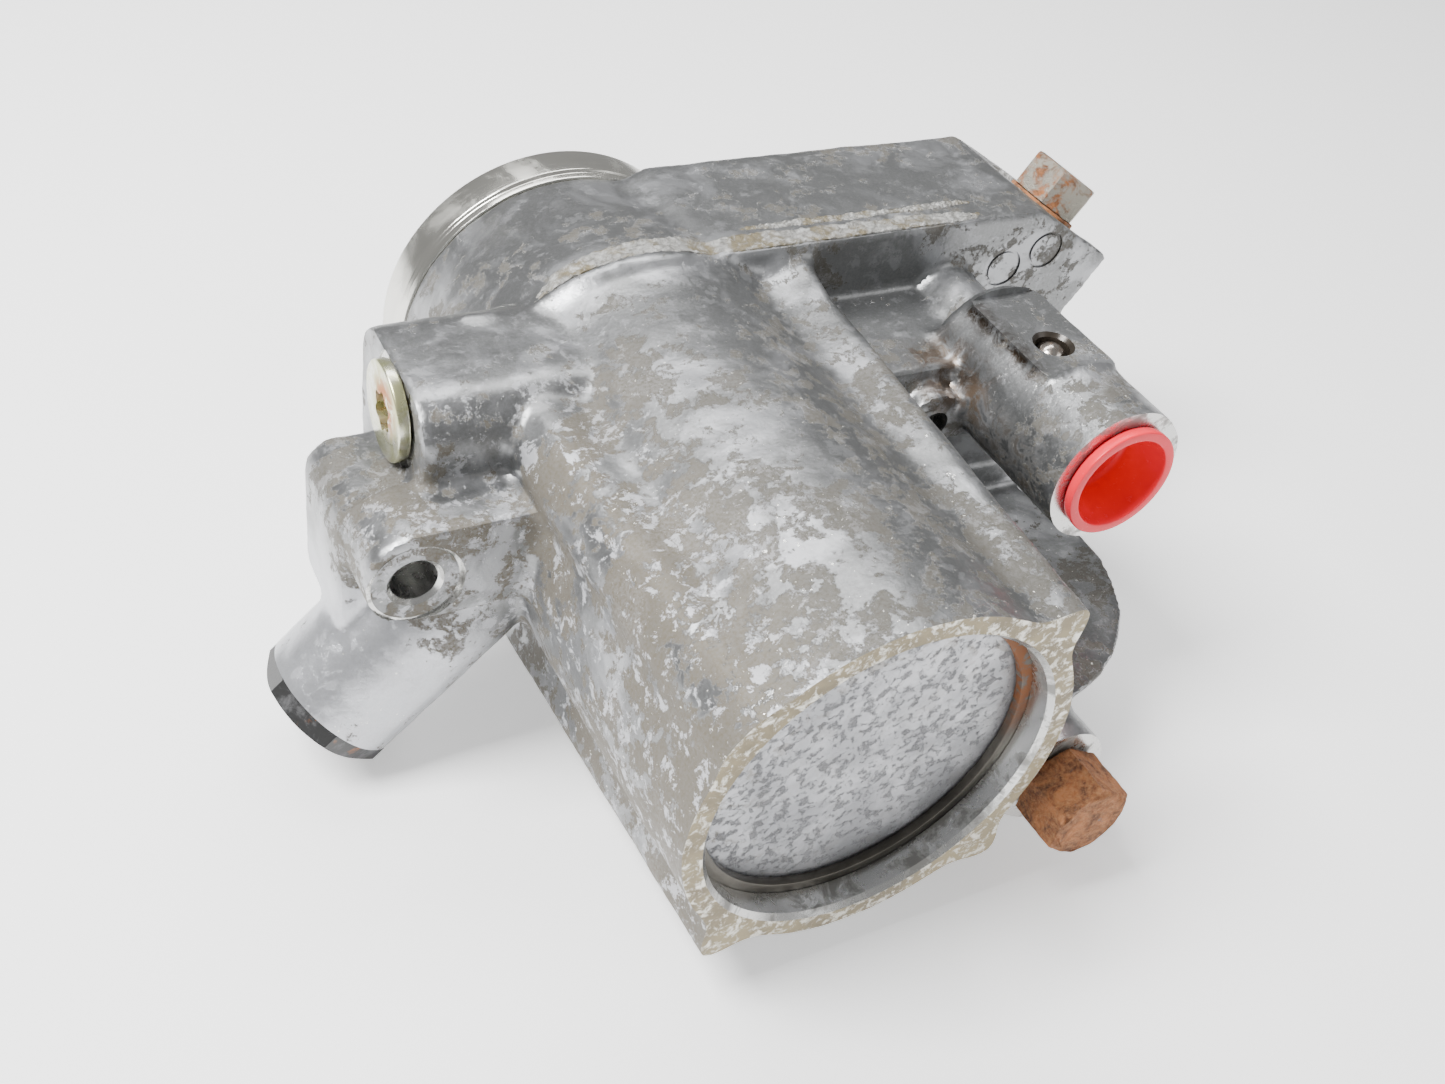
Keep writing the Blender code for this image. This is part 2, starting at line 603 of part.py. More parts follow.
def make_rear_closure(plug_finish, steel, rubber):
    """The end plug with its sealing ring, held by an internal snap ring."""
    radius = BORE_RADIUS - GAP
    groove = radius - 2 * PLUG_RING_WIRE
    middle = PLUG_THICKNESS / 2
    half = PLUG_RING_WIRE + GAP
    pocket = JOURNAL_RADIUS + JOURNAL_BUSH_WALL + 2 * GAP
    floor = PLUG_THICKNESS - JOURNAL_BUSH_LENGTH - 2 * GAP
    profile = [(0, 0), (radius - PLUG_CHAMFER, 0), (radius, PLUG_CHAMFER), (radius, middle - half),
               (groove, middle - half), (groove, middle + half), (radius, middle + half),
               (radius, PLUG_THICKNESS), (pocket, PLUG_THICKNESS), (pocket, floor), (0, floor)]
    turned("rear_end_plug", profile, (0, plug_rear, 0), Y_AXIS, plug_finish, ROUND_LARGE)
    seal_ring("plug_o_ring", groove + GAP, 2 * PLUG_RING_WIRE - 2 * GAP,
              (0, plug_rear + middle - PLUG_RING_WIRE, 0), 2 * PLUG_RING_WIRE, Y_AXIS, rubber,
              ROUND_LARGE)
    rear = RECESS_DEPTH - SNAP_RING_THICKNESS
    outer = BORE_RADIUS + SNAP_GROOVE_DEPTH - GAP
    ring = tube("plug_snap_ring", outer - SNAP_RING_WIDTH, outer, (0, rear, 0), SNAP_RING_THICKNESS,
                Y_AXIS, steel, ROUND_LARGE)
    half_slot = BORE_RADIUS * math.sin(SNAP_RING_OPENING / 2)
    cut(ring, box("snap_ring_slot", (-half_slot, rear - OVERRUN, 0.8 * BORE_RADIUS),
                  (half_slot, rear + SNAP_RING_THICKNESS + OVERRUN, 1.2 * BORE_RADIUS)))


def seal_ring(name, inner, thickness, start, width, direction, finish, segments=ROUND_MEDIUM):
    """A sealing ring with a six-sided section."""
    bevel = 0.3 * min(thickness, width)
    outer = inner + thickness
    profile = [(inner, width / 2), (inner + bevel, 0), (outer - bevel, 0), (outer, width / 2),
               (outer - bevel, width), (inner + bevel, width)]
    return turned(name, profile, start, direction, finish, segments)


def make_shaft(steel, rubber):
    """Drive shaft with its key, rear bush, front bearing races, seal and seal clip."""
    rear = plug_front - JOURNAL_BUSH_LENGTH
    journal_end = block_rear
    profile = [(0, rear), (JOURNAL_RADIUS, rear), (JOURNAL_RADIUS, journal_end),
               (SHAFT_RADIUS, journal_end), (SHAFT_RADIUS, bearing_rear),
               (BEARING_SEAT, bearing_rear), (BEARING_SEAT, bearing_front),
               (SHAFT_RADIUS, bearing_front), (SHAFT_RADIUS, pilot_front),
               (SHAFT_END_RADIUS, pilot_front), (SHAFT_END_RADIUS, shaft_front - PLUG_CHAMFER),
               (SHAFT_END_RADIUS - PLUG_CHAMFER, shaft_front), (0, shaft_front)]
    shaft = turned("drive_shaft", profile, (0, 0, 0), Y_AXIS, steel)
    key_rear = pilot_front + (SHAFT_STICKOUT - KEY_LENGTH) / 2
    key_bottom = SHAFT_END_RADIUS - KEY_HEIGHT / 2
    low = Vector((-KEY_WIDTH / 2, key_rear, key_bottom))
    high = Vector((KEY_WIDTH / 2, key_rear + KEY_LENGTH, key_bottom + KEY_HEIGHT))
    room = Vector((GAP, GAP, GAP))
    box("shaft_key", low, high, steel)
    cut(shaft, box("key_slot", low - room, high + room))
    tube("rear_bush", JOURNAL_RADIUS + GAP, JOURNAL_RADIUS + GAP + JOURNAL_BUSH_WALL, (0, rear, 0),
         JOURNAL_BUSH_LENGTH - GAP, Y_AXIS, steel)
    inner = BEARING_SEAT + GAP
    tube("bearing_inner_race", inner, inner + RACE_WALL, (0, bearing_rear, 0), BEARING_WIDTH, Y_AXIS,
         steel, ROUND_MEDIUM)
    tube("bearing_outer_race", BEARING_OUTER - RACE_WALL, BEARING_OUTER, (0, bearing_rear, 0),
         BEARING_WIDTH, Y_AXIS, steel, ROUND_MEDIUM)
    track = (inner + BEARING_OUTER) / 2
    ball = (BEARING_OUTER - inner - 2 * RACE_WALL) / 2 - GAP
    for number in range(BEARING_BALLS):
        angle = math.tau * number / BEARING_BALLS
        place = (track * math.cos(angle), (bearing_rear + bearing_front) / 2, track * math.sin(angle))
        sphere(f"bearing_ball_{number + 1}", ball, place, steel)
    tube("shaft_seal", SHAFT_RADIUS + GAP, SEAL_RADIUS, (0, seal_rear, 0), SEAL_WIDTH, Y_AXIS, rubber)
    tube("seal_clip", SHAFT_RADIUS + CLIP_ROOM, SEAL_RADIUS + OVERRUN, (0, seal_rear + SEAL_WIDTH + GAP, 0),
         SEAL_CLIP_THICKNESS, Y_AXIS, steel)


def sphere(name, radius, place, finish, segments=ROUND_TINY):
    """A ball."""
    form = bmesh.new()
    bmesh.ops.create_uvsphere(form, u_segments=segments, v_segments=segments // 2, radius=radius)
    return finish_object(name, mesh_from(name, form), finish, place)


def make_front_cover(finish, steel):
    """The cover whose rim is the mounting pilot, and its socket screws."""
    seal_bore = SEAL_RADIUS + GAP
    clip = seal_rear + SEAL_WIDTH
    clip_end = clip + SEAL_CLIP_THICKNESS + 2 * GAP
    spigot = cover_face - SPIGOT_LENGTH
    profile = [(SHAFT_RADIUS + COVER_ROOM, spigot), (SPIGOT_RADIUS, spigot), (SPIGOT_RADIUS, cover_face),
               (PILOT_RADIUS - PILOT_CHAMFER, cover_face), (PILOT_RADIUS, cover_face + PILOT_CHAMFER),
               (PILOT_RADIUS, pilot_front - PILOT_CHAMFER), (PILOT_RADIUS - PILOT_CHAMFER, pilot_front),
               (seal_bore, pilot_front), (seal_bore, clip_end), (seal_bore + OVERRUN, clip_end),
               (seal_bore + OVERRUN, clip), (seal_bore, clip), (seal_bore, seal_rear - GAP),
               (SHAFT_RADIUS + COVER_ROOM, seal_rear - GAP)]
    cover = turned("front_cover", profile, (0, 0, 0), Y_AXIS, finish, ROUND_LARGE)
    head_seat = pilot_front - COVER_SCREW_HEAD_HEIGHT - GAP
    for number, (x, z) in enumerate(cover_screw_places()):
        cut(cover,
            rod("screw_hole", COVER_SCREW_RADIUS + GAP, (x, cover_face - OVERRUN, z),
                PILOT_LENGTH + 2 * OVERRUN, Y_AXIS, segments=ROUND_TINY),
            rod("screw_sink", COVER_SCREW_HEAD + GAP, (x, head_seat, z), PILOT_LENGTH, Y_AXIS,
                segments=ROUND_TINY))
        top = head_seat + GAP + COVER_SCREW_HEAD_HEIGHT
        depth = COVER_SCREW_HEAD_HEIGHT / 2
        profile = [(0, top - depth), (COVER_SCREW_SOCKET, top - depth), (COVER_SCREW_SOCKET, top),
                   (COVER_SCREW_HEAD, top), (COVER_SCREW_HEAD, head_seat + GAP),
                   (COVER_SCREW_RADIUS, head_seat + GAP), (COVER_SCREW_RADIUS, top - COVER_SCREW_LENGTH),
                   (0, top - COVER_SCREW_LENGTH)]
        turned(f"cover_screw_{number + 1}", profile[::-1], (x, 0, z), Y_AXIS, steel, ROUND_TINY)


def make_swash_plate(steel):
    """The fixed wedge that the slippers run on."""
    plate = tube("swash_plate", SWASH_HOLE, BORE_RADIUS - GAP, (0, slipper_face - SWASH_ROOM, 0),
                 bore_end - GAP - slipper_face + SWASH_ROOM, Y_AXIS, steel, ROUND_LARGE)
    reach = 2 * BORE_RADIUS
    wedge = box("swash_face", (-reach, -reach, -reach), (reach, 0, reach))
    wedge.location = (0, swash_centre, 0)
    wedge.rotation_quaternion = Matrix.Rotation(SWASH_ANGLE, 4, "X").to_quaternion()
    cut(plate, wedge)


def make_block(steel, bronze, spring_steel):
    """The cylinder block, its spring and spring seat."""
    block = tube("cylinder_block", SHAFT_RADIUS + GAP, BLOCK_GROUP_RADIUS, (0, block_rear, 0),
                 BLOCK_GROUP_LENGTH, Y_AXIS, bronze)
    cut(block, rod("spring_pocket", SPRING_POCKET, (0, block_front - SPRING_POCKET_DEPTH, 0),
                   SPRING_POCKET_DEPTH + OVERRUN, Y_AXIS))
    for x, z in piston_places():
        cut(block,
            rod("piston_bore", PISTON_RADIUS + GAP, (x, block_rear + BORE_FLOOR, z),
                BLOCK_GROUP_LENGTH, Y_AXIS, segments=PISTON_FACETS),
            rod("feed_bore", PISTON_RADIUS / 2, (x, block_rear - OVERRUN, z), BORE_FLOOR + 2 * OVERRUN,
                Y_AXIS, segments=ROUND_TINY))
    room = SPRING_POCKET - SHAFT_RADIUS
    coil("block_spring", SHAFT_RADIUS + room / 2, SPRING_WIRE,
         (0, block_front - SPRING_POCKET_DEPTH + GAP, 0),
         SPRING_POCKET_DEPTH - SPRING_SEAT_THICKNESS - 2 * GAP, SPRING_TURNS, spring_steel)
    tube("spring_seat", SHAFT_RADIUS + GAP, SPRING_POCKET - GAP,
         (0, block_front - SPRING_SEAT_THICKNESS, 0), SPRING_SEAT_THICKNESS, Y_AXIS, steel)


def piston_places():
    for number in range(PISTON_COUNT):
        angle = math.tau * number / PISTON_COUNT + math.pi / 2
        yield PISTON_CIRCLE * math.cos(angle), PISTON_CIRCLE * math.sin(angle)


def arc(centre, radius, first, last, steps):
    """Points (radius, height) on an arc of a profile, angles measured from the outward direction."""
    points = []
    for step in range(steps + 1):
        angle = math.radians(first + (last - first) * step / steps)
        points.append((max(radius * math.cos(angle), 0), centre + radius * math.sin(angle)))
    return points


def make_pistons(steel, bronze):
    """Seven hollow pistons with a ball end, each with its slipper."""
    ball_height = ball_station - piston_rear
    neck_angle = math.degrees(math.acos(BALL_NECK / BALL_RADIUS))
    piston = [(PISTON_HOLLOW, 0), (PISTON_RADIUS, 0), (PISTON_RADIUS, PISTON_LENGTH),
              (BALL_NECK, PISTON_LENGTH)]
    piston += arc(ball_height, BALL_RADIUS, -neck_angle, 90, ARC_STEPS)
    piston += [(0, PISTON_HOLLOW_DEPTH), (PISTON_HOLLOW, PISTON_HOLLOW_DEPTH)]
    socket = BALL_RADIUS + GAP
    mouth = -math.degrees(math.asin(min((ball_station - slipper_rear) / socket, 0.9)))
    top = slipper_face - ball_station
    slipper = arc(0, socket, 90, mouth, ARC_STEPS)
    slipper += [(slipper_radius, slipper[-1][1]), (slipper_radius, top - SLIPPER_FLANGE_THICKNESS),
                (SLIPPER_FLANGE, top - SLIPPER_FLANGE_THICKNESS), (SLIPPER_FLANGE, top), (0, top)]
    for number, (x, z) in enumerate(piston_places()):
        turned(f"piston_{number + 1}", piston, (x, piston_rear, z), Y_AXIS, steel, PISTON_FACETS)
        turned(f"slipper_{number + 1}", slipper, (x, ball_station, z), Y_AXIS, bronze, PISTON_FACETS)


def kidney(name, side):
    """A curved slot through the valve plate, on one side of the shaft."""
    outline = []
    for radius, order in ((PISTON_CIRCLE + KIDNEY_WIDTH / 2, 1), (PISTON_CIRCLE - KIDNEY_WIDTH / 2, -1)):
        for step in range(9):
            angle = order * KIDNEY_HALF_ANGLE * (step / 4 - 1)
            outline.append((side * radius * math.cos(angle), radius * math.sin(angle)))
    return prism(name, outline, valve_plate_rear - OVERRUN, valve_plate_front + OVERRUN)


def make_valve_plate(bronze, steel):
    """The valve plate with its two kidney slots, and the dowel that stops it turning."""
    plate = tube("valve_plate", SHAFT_RADIUS + COVER_ROOM, VALVE_PLATE_RADIUS, (0, valve_plate_rear, 0),
                 VALVE_PLATE_THICKNESS, Y_AXIS, bronze)
    height = VALVE_PLATE_RADIUS - DOWEL_EDGE
    rear = plug_front - DOWEL_LENGTH / 2
    rod("valve_plate_dowel", DOWEL_RADIUS, (0, rear, height), DOWEL_LENGTH, Y_AXIS, steel, ROUND_TINY)
    room = rod("dowel_hole", DOWEL_RADIUS + GAP, (0, rear - GAP, height), DOWEL_LENGTH + 2 * GAP,
               Y_AXIS, segments=ROUND_TINY)
    cut(plate, kidney("intake_slot", -1), kidney("outlet_slot", 1), room)
    cut(bpy.data.objects["rear_end_plug"], room)


def make_plugs(top_seat, top_normal, slant_end, slant_out, zinc, black, rubber, rust):
    """The three threaded plugs, their sealing rings, and the bolt."""
    left = turned("left_plug", [(0, 0), (LEFT_PLUG_RADIUS, 0),
                                (LEFT_PLUG_RADIUS, LEFT_PLUG_THICKNESS),
                                (LEFT_PLUG_SHANK, LEFT_PLUG_THICKNESS),
                                (LEFT_PLUG_SHANK, LEFT_PLUG_THICKNESS + LEFT_PLUG_DEPTH),
                                (0, LEFT_PLUG_THICKNESS + LEFT_PLUG_DEPTH)],
                  (BLOCK_FACE - GAP - LEFT_PLUG_THICKNESS, LEFT_PLUG_Y, LEFT_PLUG_Z), X_AXIS, zinc)
    cut(left, rod("left_plug_socket", LEFT_PLUG_SOCKET,
                  (BLOCK_FACE - LEFT_PLUG_THICKNESS - OVERRUN, LEFT_PLUG_Y, LEFT_PLUG_Z),
                  LEFT_PLUG_DEPTH / 2, X_AXIS, segments=6))
    slanted = hexagon("slant_plug", SLANT_PLUG_FLATS, slant_end + slant_out * GAP,
                      SLANT_PLUG_THICKNESS, slant_out, HEAD_CHAMFER, black, SLANT_PLUG_TURN)
    groove = SLANT_BORE - GAP - 2 * SEAL_RING_WIRE
    groove_end = SLANT_GROOVE_START + 2 * SEAL_RING_WIRE + 2 * GAP
    shank = [(0, -OVERLAP), (SLANT_BORE - GAP, -OVERLAP), (SLANT_BORE - GAP, SLANT_GROOVE_START),
             (groove, SLANT_GROOVE_START), (groove, groove_end), (SLANT_BORE - GAP, groove_end),
             (SLANT_BORE - GAP, SLANT_PLUG_DEPTH), (0, SLANT_PLUG_DEPTH)]
    join(slanted, turned("slant_plug_shank", shank, slant_end, -slant_out))
    seal_ring("slant_plug_o_ring", groove + GAP, 2 * SEAL_RING_WIRE - GAP,
              slant_end - slant_out * (SLANT_GROOVE_START + GAP), 2 * SEAL_RING_WIRE, -slant_out, rubber)
    top = hexagon("top_plug", TOP_PLUG_FLATS, top_seat + top_normal * (GAP + 2 * SEAL_RING_WIRE),
                  TOP_PLUG_THICKNESS, top_normal, HEAD_CHAMFER, zinc)
    join(top, rod("top_plug_shank", TOP_PLUG_SHANK, top_seat + top_normal * 4 * SEAL_RING_WIRE,
                  TOP_PLUG_DEPTH + 4 * SEAL_RING_WIRE, -top_normal, segments=ROUND_SMALL))
    tube("top_plug_washer", TOP_PLUG_SHANK + GAP, TOP_PLUG_FLATS / 2, top_seat + top_normal * GAP,
         2 * SEAL_RING_WIRE - GAP, top_normal, rust, ROUND_SMALL)
    seat = Vector((BOLT_BOSS_X, BOLT_BOSS_START - GAP, BOLT_BOSS_Z))
    bolt = hexagon("boss_bolt", BOLT_HEAD_FLATS, seat, BOLT_HEAD_HEIGHT, -Y_AXIS, HEAD_CHAMFER, rust)
    join(bolt, rod("boss_bolt_shank", BOLT_RADIUS, seat - Y_AXIS * OVERRUN, BOLT_LENGTH, Y_AXIS,
                   segments=ROUND_SMALL))


def make_port_parts(red, steel, spring_steel):
    """The protective cap, the ball pressed into the pad, and the check valve in the port."""
    inner = PORT_BORE - GAP
    floor = CAP_FLOOR_DEPTH
    profile = [(0, floor), (inner - CAP_WALL, floor), (inner - CAP_WALL, -CAP_RIM_THICKNESS),
               (CAP_RIM_RADIUS, -CAP_RIM_THICKNESS), (CAP_RIM_RADIUS, -GAP), (inner, -GAP),
               (inner, CAP_INSERT), (0, CAP_INSERT)]
    turned("port_cap", profile, (PORT_X, PORT_END, PORT_Z), Y_AXIS, red)
    hole_y = PORT_END + PAD_START + PAD_HOLE_START
    ball = PAD_HOLE - GAP
    sphere("pad_ball", ball, (PORT_X, hole_y, PORT_Z + PAD_HEIGHT - PAD_BALL_SINK), steel,
           ROUND_SMALL)
    seat = port_depth + CHECK_SEAT_START
    tube("check_seat", CHECK_SEAT_BORE, VALVE_BORE - GAP, (PORT_X, seat, PORT_Z), CHECK_SEAT_LENGTH,
         Y_AXIS, steel, ROUND_SMALL)
    lift = math.sqrt(CHECK_BALL_RADIUS ** 2 - CHECK_SEAT_BORE ** 2)
    ball_y = seat + CHECK_SEAT_LENGTH + lift + GAP
    sphere("check_ball", CHECK_BALL_RADIUS, (PORT_X, ball_y, PORT_Z), steel, ROUND_SMALL)
    seat_on_ball = math.sqrt(CHECK_BALL_RADIUS ** 2 - CHECK_SPRING_RADIUS ** 2)
    spring_start = ball_y + seat_on_ball + CHECK_LIFT + 2 * GAP
    coil("check_spring", CHECK_SPRING_RADIUS, CHECK_SPRING_WIRE, (PORT_X, spring_start, PORT_Z),
         valve_depth - spring_start - GAP, CHECK_SPRING_TURNS, spring_steel)


def stand_on_origin():
    """Move the whole pump so that the middle of its footprint is the origin."""
    bpy.context.view_layer.update()
    graph = bpy.context.evaluated_depsgraph_get()
    corners = []
    for item in bpy.context.scene.objects:
        if item.type == "EMPTY" or item.hide_render:
            continue
        placed = item.evaluated_get(graph)
        mesh = placed.to_mesh()
        corners += [item.matrix_world @ vertex.co for vertex in mesh.vertices]
        placed.to_mesh_clear()
    low = [min(corner[axis] for corner in corners) for axis in range(3)]
    high = [max(corner[axis] for corner in corners) for axis in range(3)]
    pump_frame.location = (-(low[0] + high[0]) / 2, -(low[1] + high[1]) / 2, -low[2])


def build():
    cast = material("cast_aluminium", (0.52, 0.52, 0.50), 0.45, 0.8)
    machined = material("machined_aluminium", (0.72, 0.72, 0.70), 0.25, 1.0)
    plug_cast = material("plug_aluminium", (0.58, 0.58, 0.60), 0.5, 0.8)
    steel = material("dark_steel", (0.22, 0.21, 0.20), 0.4, 1.0)
    bright = material("ground_steel", (0.55, 0.55, 0.56), 0.25, 1.0)
    bronze = material("bronze", (0.60, 0.42, 0.20), 0.35, 1.0)
    spring_steel = material("spring_steel", (0.30, 0.30, 0.32), 0.35, 1.0)
    rubber = material("seal_rubber", (0.03, 0.03, 0.03), 0.7, 0.0)
    zinc = material("zinc_plate", (0.62, 0.60, 0.45), 0.35, 0.9)
    black = material("black_steel", (0.07, 0.07, 0.08), 0.45, 0.7)
    rust = material("rusty_steel", (0.36, 0.17, 0.08), 0.85, 0.2)
    red = material("red_plastic", (0.90, 0.05, 0.05), 0.35, 0.0)
    housing = make_barrel(cast)
    top_seat, top_normal = add_front(housing)
    add_port(housing)
    add_flange(housing)
    add_bolt_boss(housing)
    slant_end, slant_out = add_left_side(housing)
    bore_housing(housing, top_seat, top_normal, slant_end, slant_out)
    make_rear_closure(plug_cast, steel, rubber)
    make_shaft(bright, rubber)
    make_front_cover(machined, steel)
    make_swash_plate(bright)
    make_block(bright, bronze, spring_steel)
    make_pistons(bright, bronze)
    make_valve_plate(bronze, bright)
    make_plugs(top_seat, top_normal, slant_end, slant_out, zinc, black, rubber, rust)
    make_port_parts(red, bright, spring_steel)
    stand_on_origin()


for leftover in list(bpy.data.objects):
    bpy.data.objects.remove(leftover)
pump_frame = bpy.data.objects.new("pump_frame", None)
bpy.context.collection.objects.link(pump_frame)
build()
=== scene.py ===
"""Looks of the axial piston pump: casting, plugs, cap, bolt, cover, shaft, floor, lights and camera.

Sizes are in millimetres times MM, from the centre of the rear rim, with Y along the shaft.
"""
import json
import math

import bmesh
import bpy
from bpy.props import FloatProperty, FloatVectorProperty, IntProperty, PointerProperty
from mathutils import Matrix, Vector, noise
from mathutils.bvhtree import BVHTree

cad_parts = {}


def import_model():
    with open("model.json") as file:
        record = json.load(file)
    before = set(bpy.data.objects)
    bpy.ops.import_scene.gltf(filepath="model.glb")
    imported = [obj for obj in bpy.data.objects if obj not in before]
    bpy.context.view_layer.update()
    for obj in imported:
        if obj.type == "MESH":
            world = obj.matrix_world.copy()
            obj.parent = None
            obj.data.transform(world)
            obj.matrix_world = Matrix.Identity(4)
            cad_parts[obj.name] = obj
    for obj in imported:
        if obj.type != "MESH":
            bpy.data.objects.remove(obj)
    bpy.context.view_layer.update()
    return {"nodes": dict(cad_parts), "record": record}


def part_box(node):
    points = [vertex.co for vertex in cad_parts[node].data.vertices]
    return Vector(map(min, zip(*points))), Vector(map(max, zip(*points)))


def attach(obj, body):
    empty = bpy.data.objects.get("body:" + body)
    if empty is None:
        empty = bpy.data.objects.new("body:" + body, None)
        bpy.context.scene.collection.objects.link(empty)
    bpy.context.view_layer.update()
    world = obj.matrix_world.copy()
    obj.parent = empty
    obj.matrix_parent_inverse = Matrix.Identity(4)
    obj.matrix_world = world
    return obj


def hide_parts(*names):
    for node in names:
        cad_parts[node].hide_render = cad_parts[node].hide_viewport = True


bl_info = {
    "name": "Axial Piston Pump",
    "version": (1, 0, 0),
    "blender": (4, 5, 0),
    "location": "View3D > Sidebar > Pump",
    "description": "Builds the looks of a die-cast axial piston pump around its packed frame",
    "category": "Object",
}

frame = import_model()

MM = 0.001
X_AXIS = Vector((1, 0, 0))
Y_AXIS = Vector((0, 1, 0))
Z_AXIS = Vector((0, 0, 1))

plug_low, plug_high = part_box("rear_end_plug")
RIM_CENTRE = Vector(((plug_low.x + plug_high.x) / 2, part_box("main_housing")[0].y,
                     (plug_low.z + plug_high.z) / 2))

# Casting
BORE_RADIUS = 42.0
BARREL_RADIUS = 48.0
BARREL_LENGTH = 131.0
BARREL_DRAFT = 1.5
RIDGE_HEIGHT = 13.0
SHARP_RIDGE = (8.5, 6.5, 2)
BLUNT_RIDGE = (2.0, 11.0, 4)
RIDGES = {44: SHARP_RIDGE, 143.5: BLUNT_RIDGE, -131: SHARP_RIDGE, -45: SHARP_RIDGE}
SHOULDER_RISE = 3.2
SHOULDER_RUN = 16.0
ARM_REAR = 131.0
ARM_FRONT = 178.0
FRONT_FACE = 180.0
SCREW_CIRCLE = 41.2
PORT = Vector((93.0, 50.0, 24.0))
PAD_TOP = 41.0
PAD_HOLE_Y = 84.0
FLANGE = Vector((65.0, 72.0, -20.0))
BOLT_BOSS = Vector((62.0, 8.0, -31.0))
BLOCK_FACE = -69.5
LEFT_PLUG = Vector((BLOCK_FACE, 115.0, 31.0))
LUG = Vector((-76.0, 80.0, 9.0))
SLANT_END = Vector((-89.0, 102.0, -43.0))
SLANT_OUT = Vector((-1, 0, -1)).normalized()
TOP_SEAT_OUT = Vector((math.cos(math.radians(58)), 0, math.sin(math.radians(58))))
TOP_SEAT = Vector((139.2, 152.0, 36.0))
FLASH_PATH = [(-30, 132), (-22, 133.5), (-12, 134.8), (0, 135.4), (18, 135.2), (36, 135), (54, 134.6),
              (72, 134.2), (88, 134), (102, 134)]
THIN_FLASH_PATH = [(30, 141.5), (50, 141), (68, 140.8), (86, 140.8), (104, 141)]
FLASH_THICKNESS = 1.2
VOXEL = 1.3 * MM
CORNER_STEPS = 8
TURNING_DEPTH = 0.033 * MM

CAST = "cast_aluminium"
FACETS = 128


class PumpSizes(bpy.types.PropertyGroup):
    """Sizes a user would change."""
    fillet_passes: IntProperty(
        name="Fillet passes", description="How often the casting's corners are smoothed",
        default=7, min=1)
    dent_depth: FloatProperty(
        name="Dent depth", description="How far the rough casting skin waves in and out",
        default=0.16 * MM, unit="LENGTH", precision=5)
    edge_wear: FloatProperty(
        name="Edge wear", description="Bevel on machined and moulded edges",
        default=0.5 * MM, unit="LENGTH", precision=5)
    flash_height: FloatProperty(
        name="Flash height", description="How far the parting flash stands out of the casting",
        default=0.7 * MM, unit="LENGTH", precision=5)


def colour(name, description, default):
    return FloatVectorProperty(name=name, description=description, default=default,
                               subtype="COLOR", size=3, min=0, max=1)


class PumpColours(bpy.types.PropertyGroup):
    """Colours a user would change."""
    casting: colour("Casting", "Clean die-cast aluminium", (0.185, 0.188, 0.188))
    casting_light: colour("Casting, light", "Brighter patches of the casting", (0.335, 0.34, 0.35))
    grime: colour("Grime", "Brown film on the casting", (0.092, 0.084, 0.068))
    tan: colour("Tan film", "Tan corrosion film on the barrel's side", (0.118, 0.101, 0.072))
    bloom: colour("Bloom", "White corrosion on the casting", (0.50, 0.505, 0.53))
    machined: colour("Machined", "Freshly cut aluminium", (0.60, 0.60, 0.585))
    rust: colour("Rust", "Orange rust", (0.42, 0.155, 0.055))
    rust_dark: colour("Rust, dark", "Old brown rust", (0.09, 0.038, 0.02))
    cap: colour("Cap", "Red moulded plastic", (1.0, 0.028, 0.055))
    steel: colour("Steel", "Bare steel", (0.50, 0.50, 0.51))
    black: colour("Black oxide", "Blackened steel", (0.055, 0.055, 0.055))
    zinc: colour("Zinc", "Yellow zinc plate", (0.52, 0.53, 0.30))
    rubber: colour("Rubber", "Seal rubber", (0.022, 0.022, 0.024))
    bronze: colour("Bronze", "Bearing bronze", (0.56, 0.36, 0.16))
    floor: colour("Floor", "Pale studio floor", (0.93, 0.93, 0.93))


def sizes():
    return bpy.context.scene.pump_sizes


def colours():
    return bpy.context.scene.pump_colours


def world(point):
    """A point in millimetres from the rim's centre, as a place in the scene."""
    return RIM_CENTRE + Vector(point) * MM


def packed(node):
    """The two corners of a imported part's box, in millimetres from the rim's centre."""
    return [(corner - RIM_CENTRE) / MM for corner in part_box(node)]


# Shapes, in millimetres from the centre of the rear rim

def aimed(start, direction, turn=0.0):
    """The place of a shape whose local Z points along direction."""
    direction = Vector(direction)
    return (Matrix.Translation(Vector(start)) @ Z_AXIS.rotation_difference(direction).to_matrix().to_4x4()
            @ Matrix.Rotation(turn, 4, "Z"))


def lathe(profile, start, direction, segments=FACETS, turn=0.0):
    """Spin a closed profile of (radius, height) points about an axis."""
    form = bmesh.new()
    points = [form.verts.new((radius, 0, height)) for radius, height in profile]
    for first, second in zip(points, points[1:] + points[:1]):
        if first.co.x > 0 or second.co.x > 0:
            form.edges.new((first, second))
    bmesh.ops.spin(form, geom=form.verts[:] + form.edges[:], cent=(0, 0, 0), axis=(0, 0, 1),
                   angle=math.tau, steps=segments, use_merge=True)
    bmesh.ops.remove_doubles(form, verts=form.verts, dist=0.001)
    bmesh.ops.recalc_face_normals(form, faces=form.faces)
    bmesh.ops.transform(form, matrix=aimed(start, direction, turn), verts=form.verts)
    return form


def rod(radius, start, length, direction=Y_AXIS, segments=FACETS):
    return lathe([(0, 0), (radius, 0), (radius, length), (0, length)], start, direction, segments)


def block(low, high):
    """A box between two corners."""
    form = bmesh.new()
    low, high = Vector(low), Vector(high)
    bmesh.ops.create_cube(form, size=1)
    bmesh.ops.scale(form, vec=high - low, verts=form.verts)
    bmesh.ops.translate(form, vec=(low + high) / 2, verts=form.verts)
    return form


def pushed(form, faces, offset):
    """Extrude faces by an offset and give back what that made."""
    grown = bmesh.ops.extrude_face_region(form, geom=faces)["geom"]
    bmesh.ops.translate(form, vec=offset,
                        verts=[item for item in grown if isinstance(item, bmesh.types.BMVert)])
    return grown


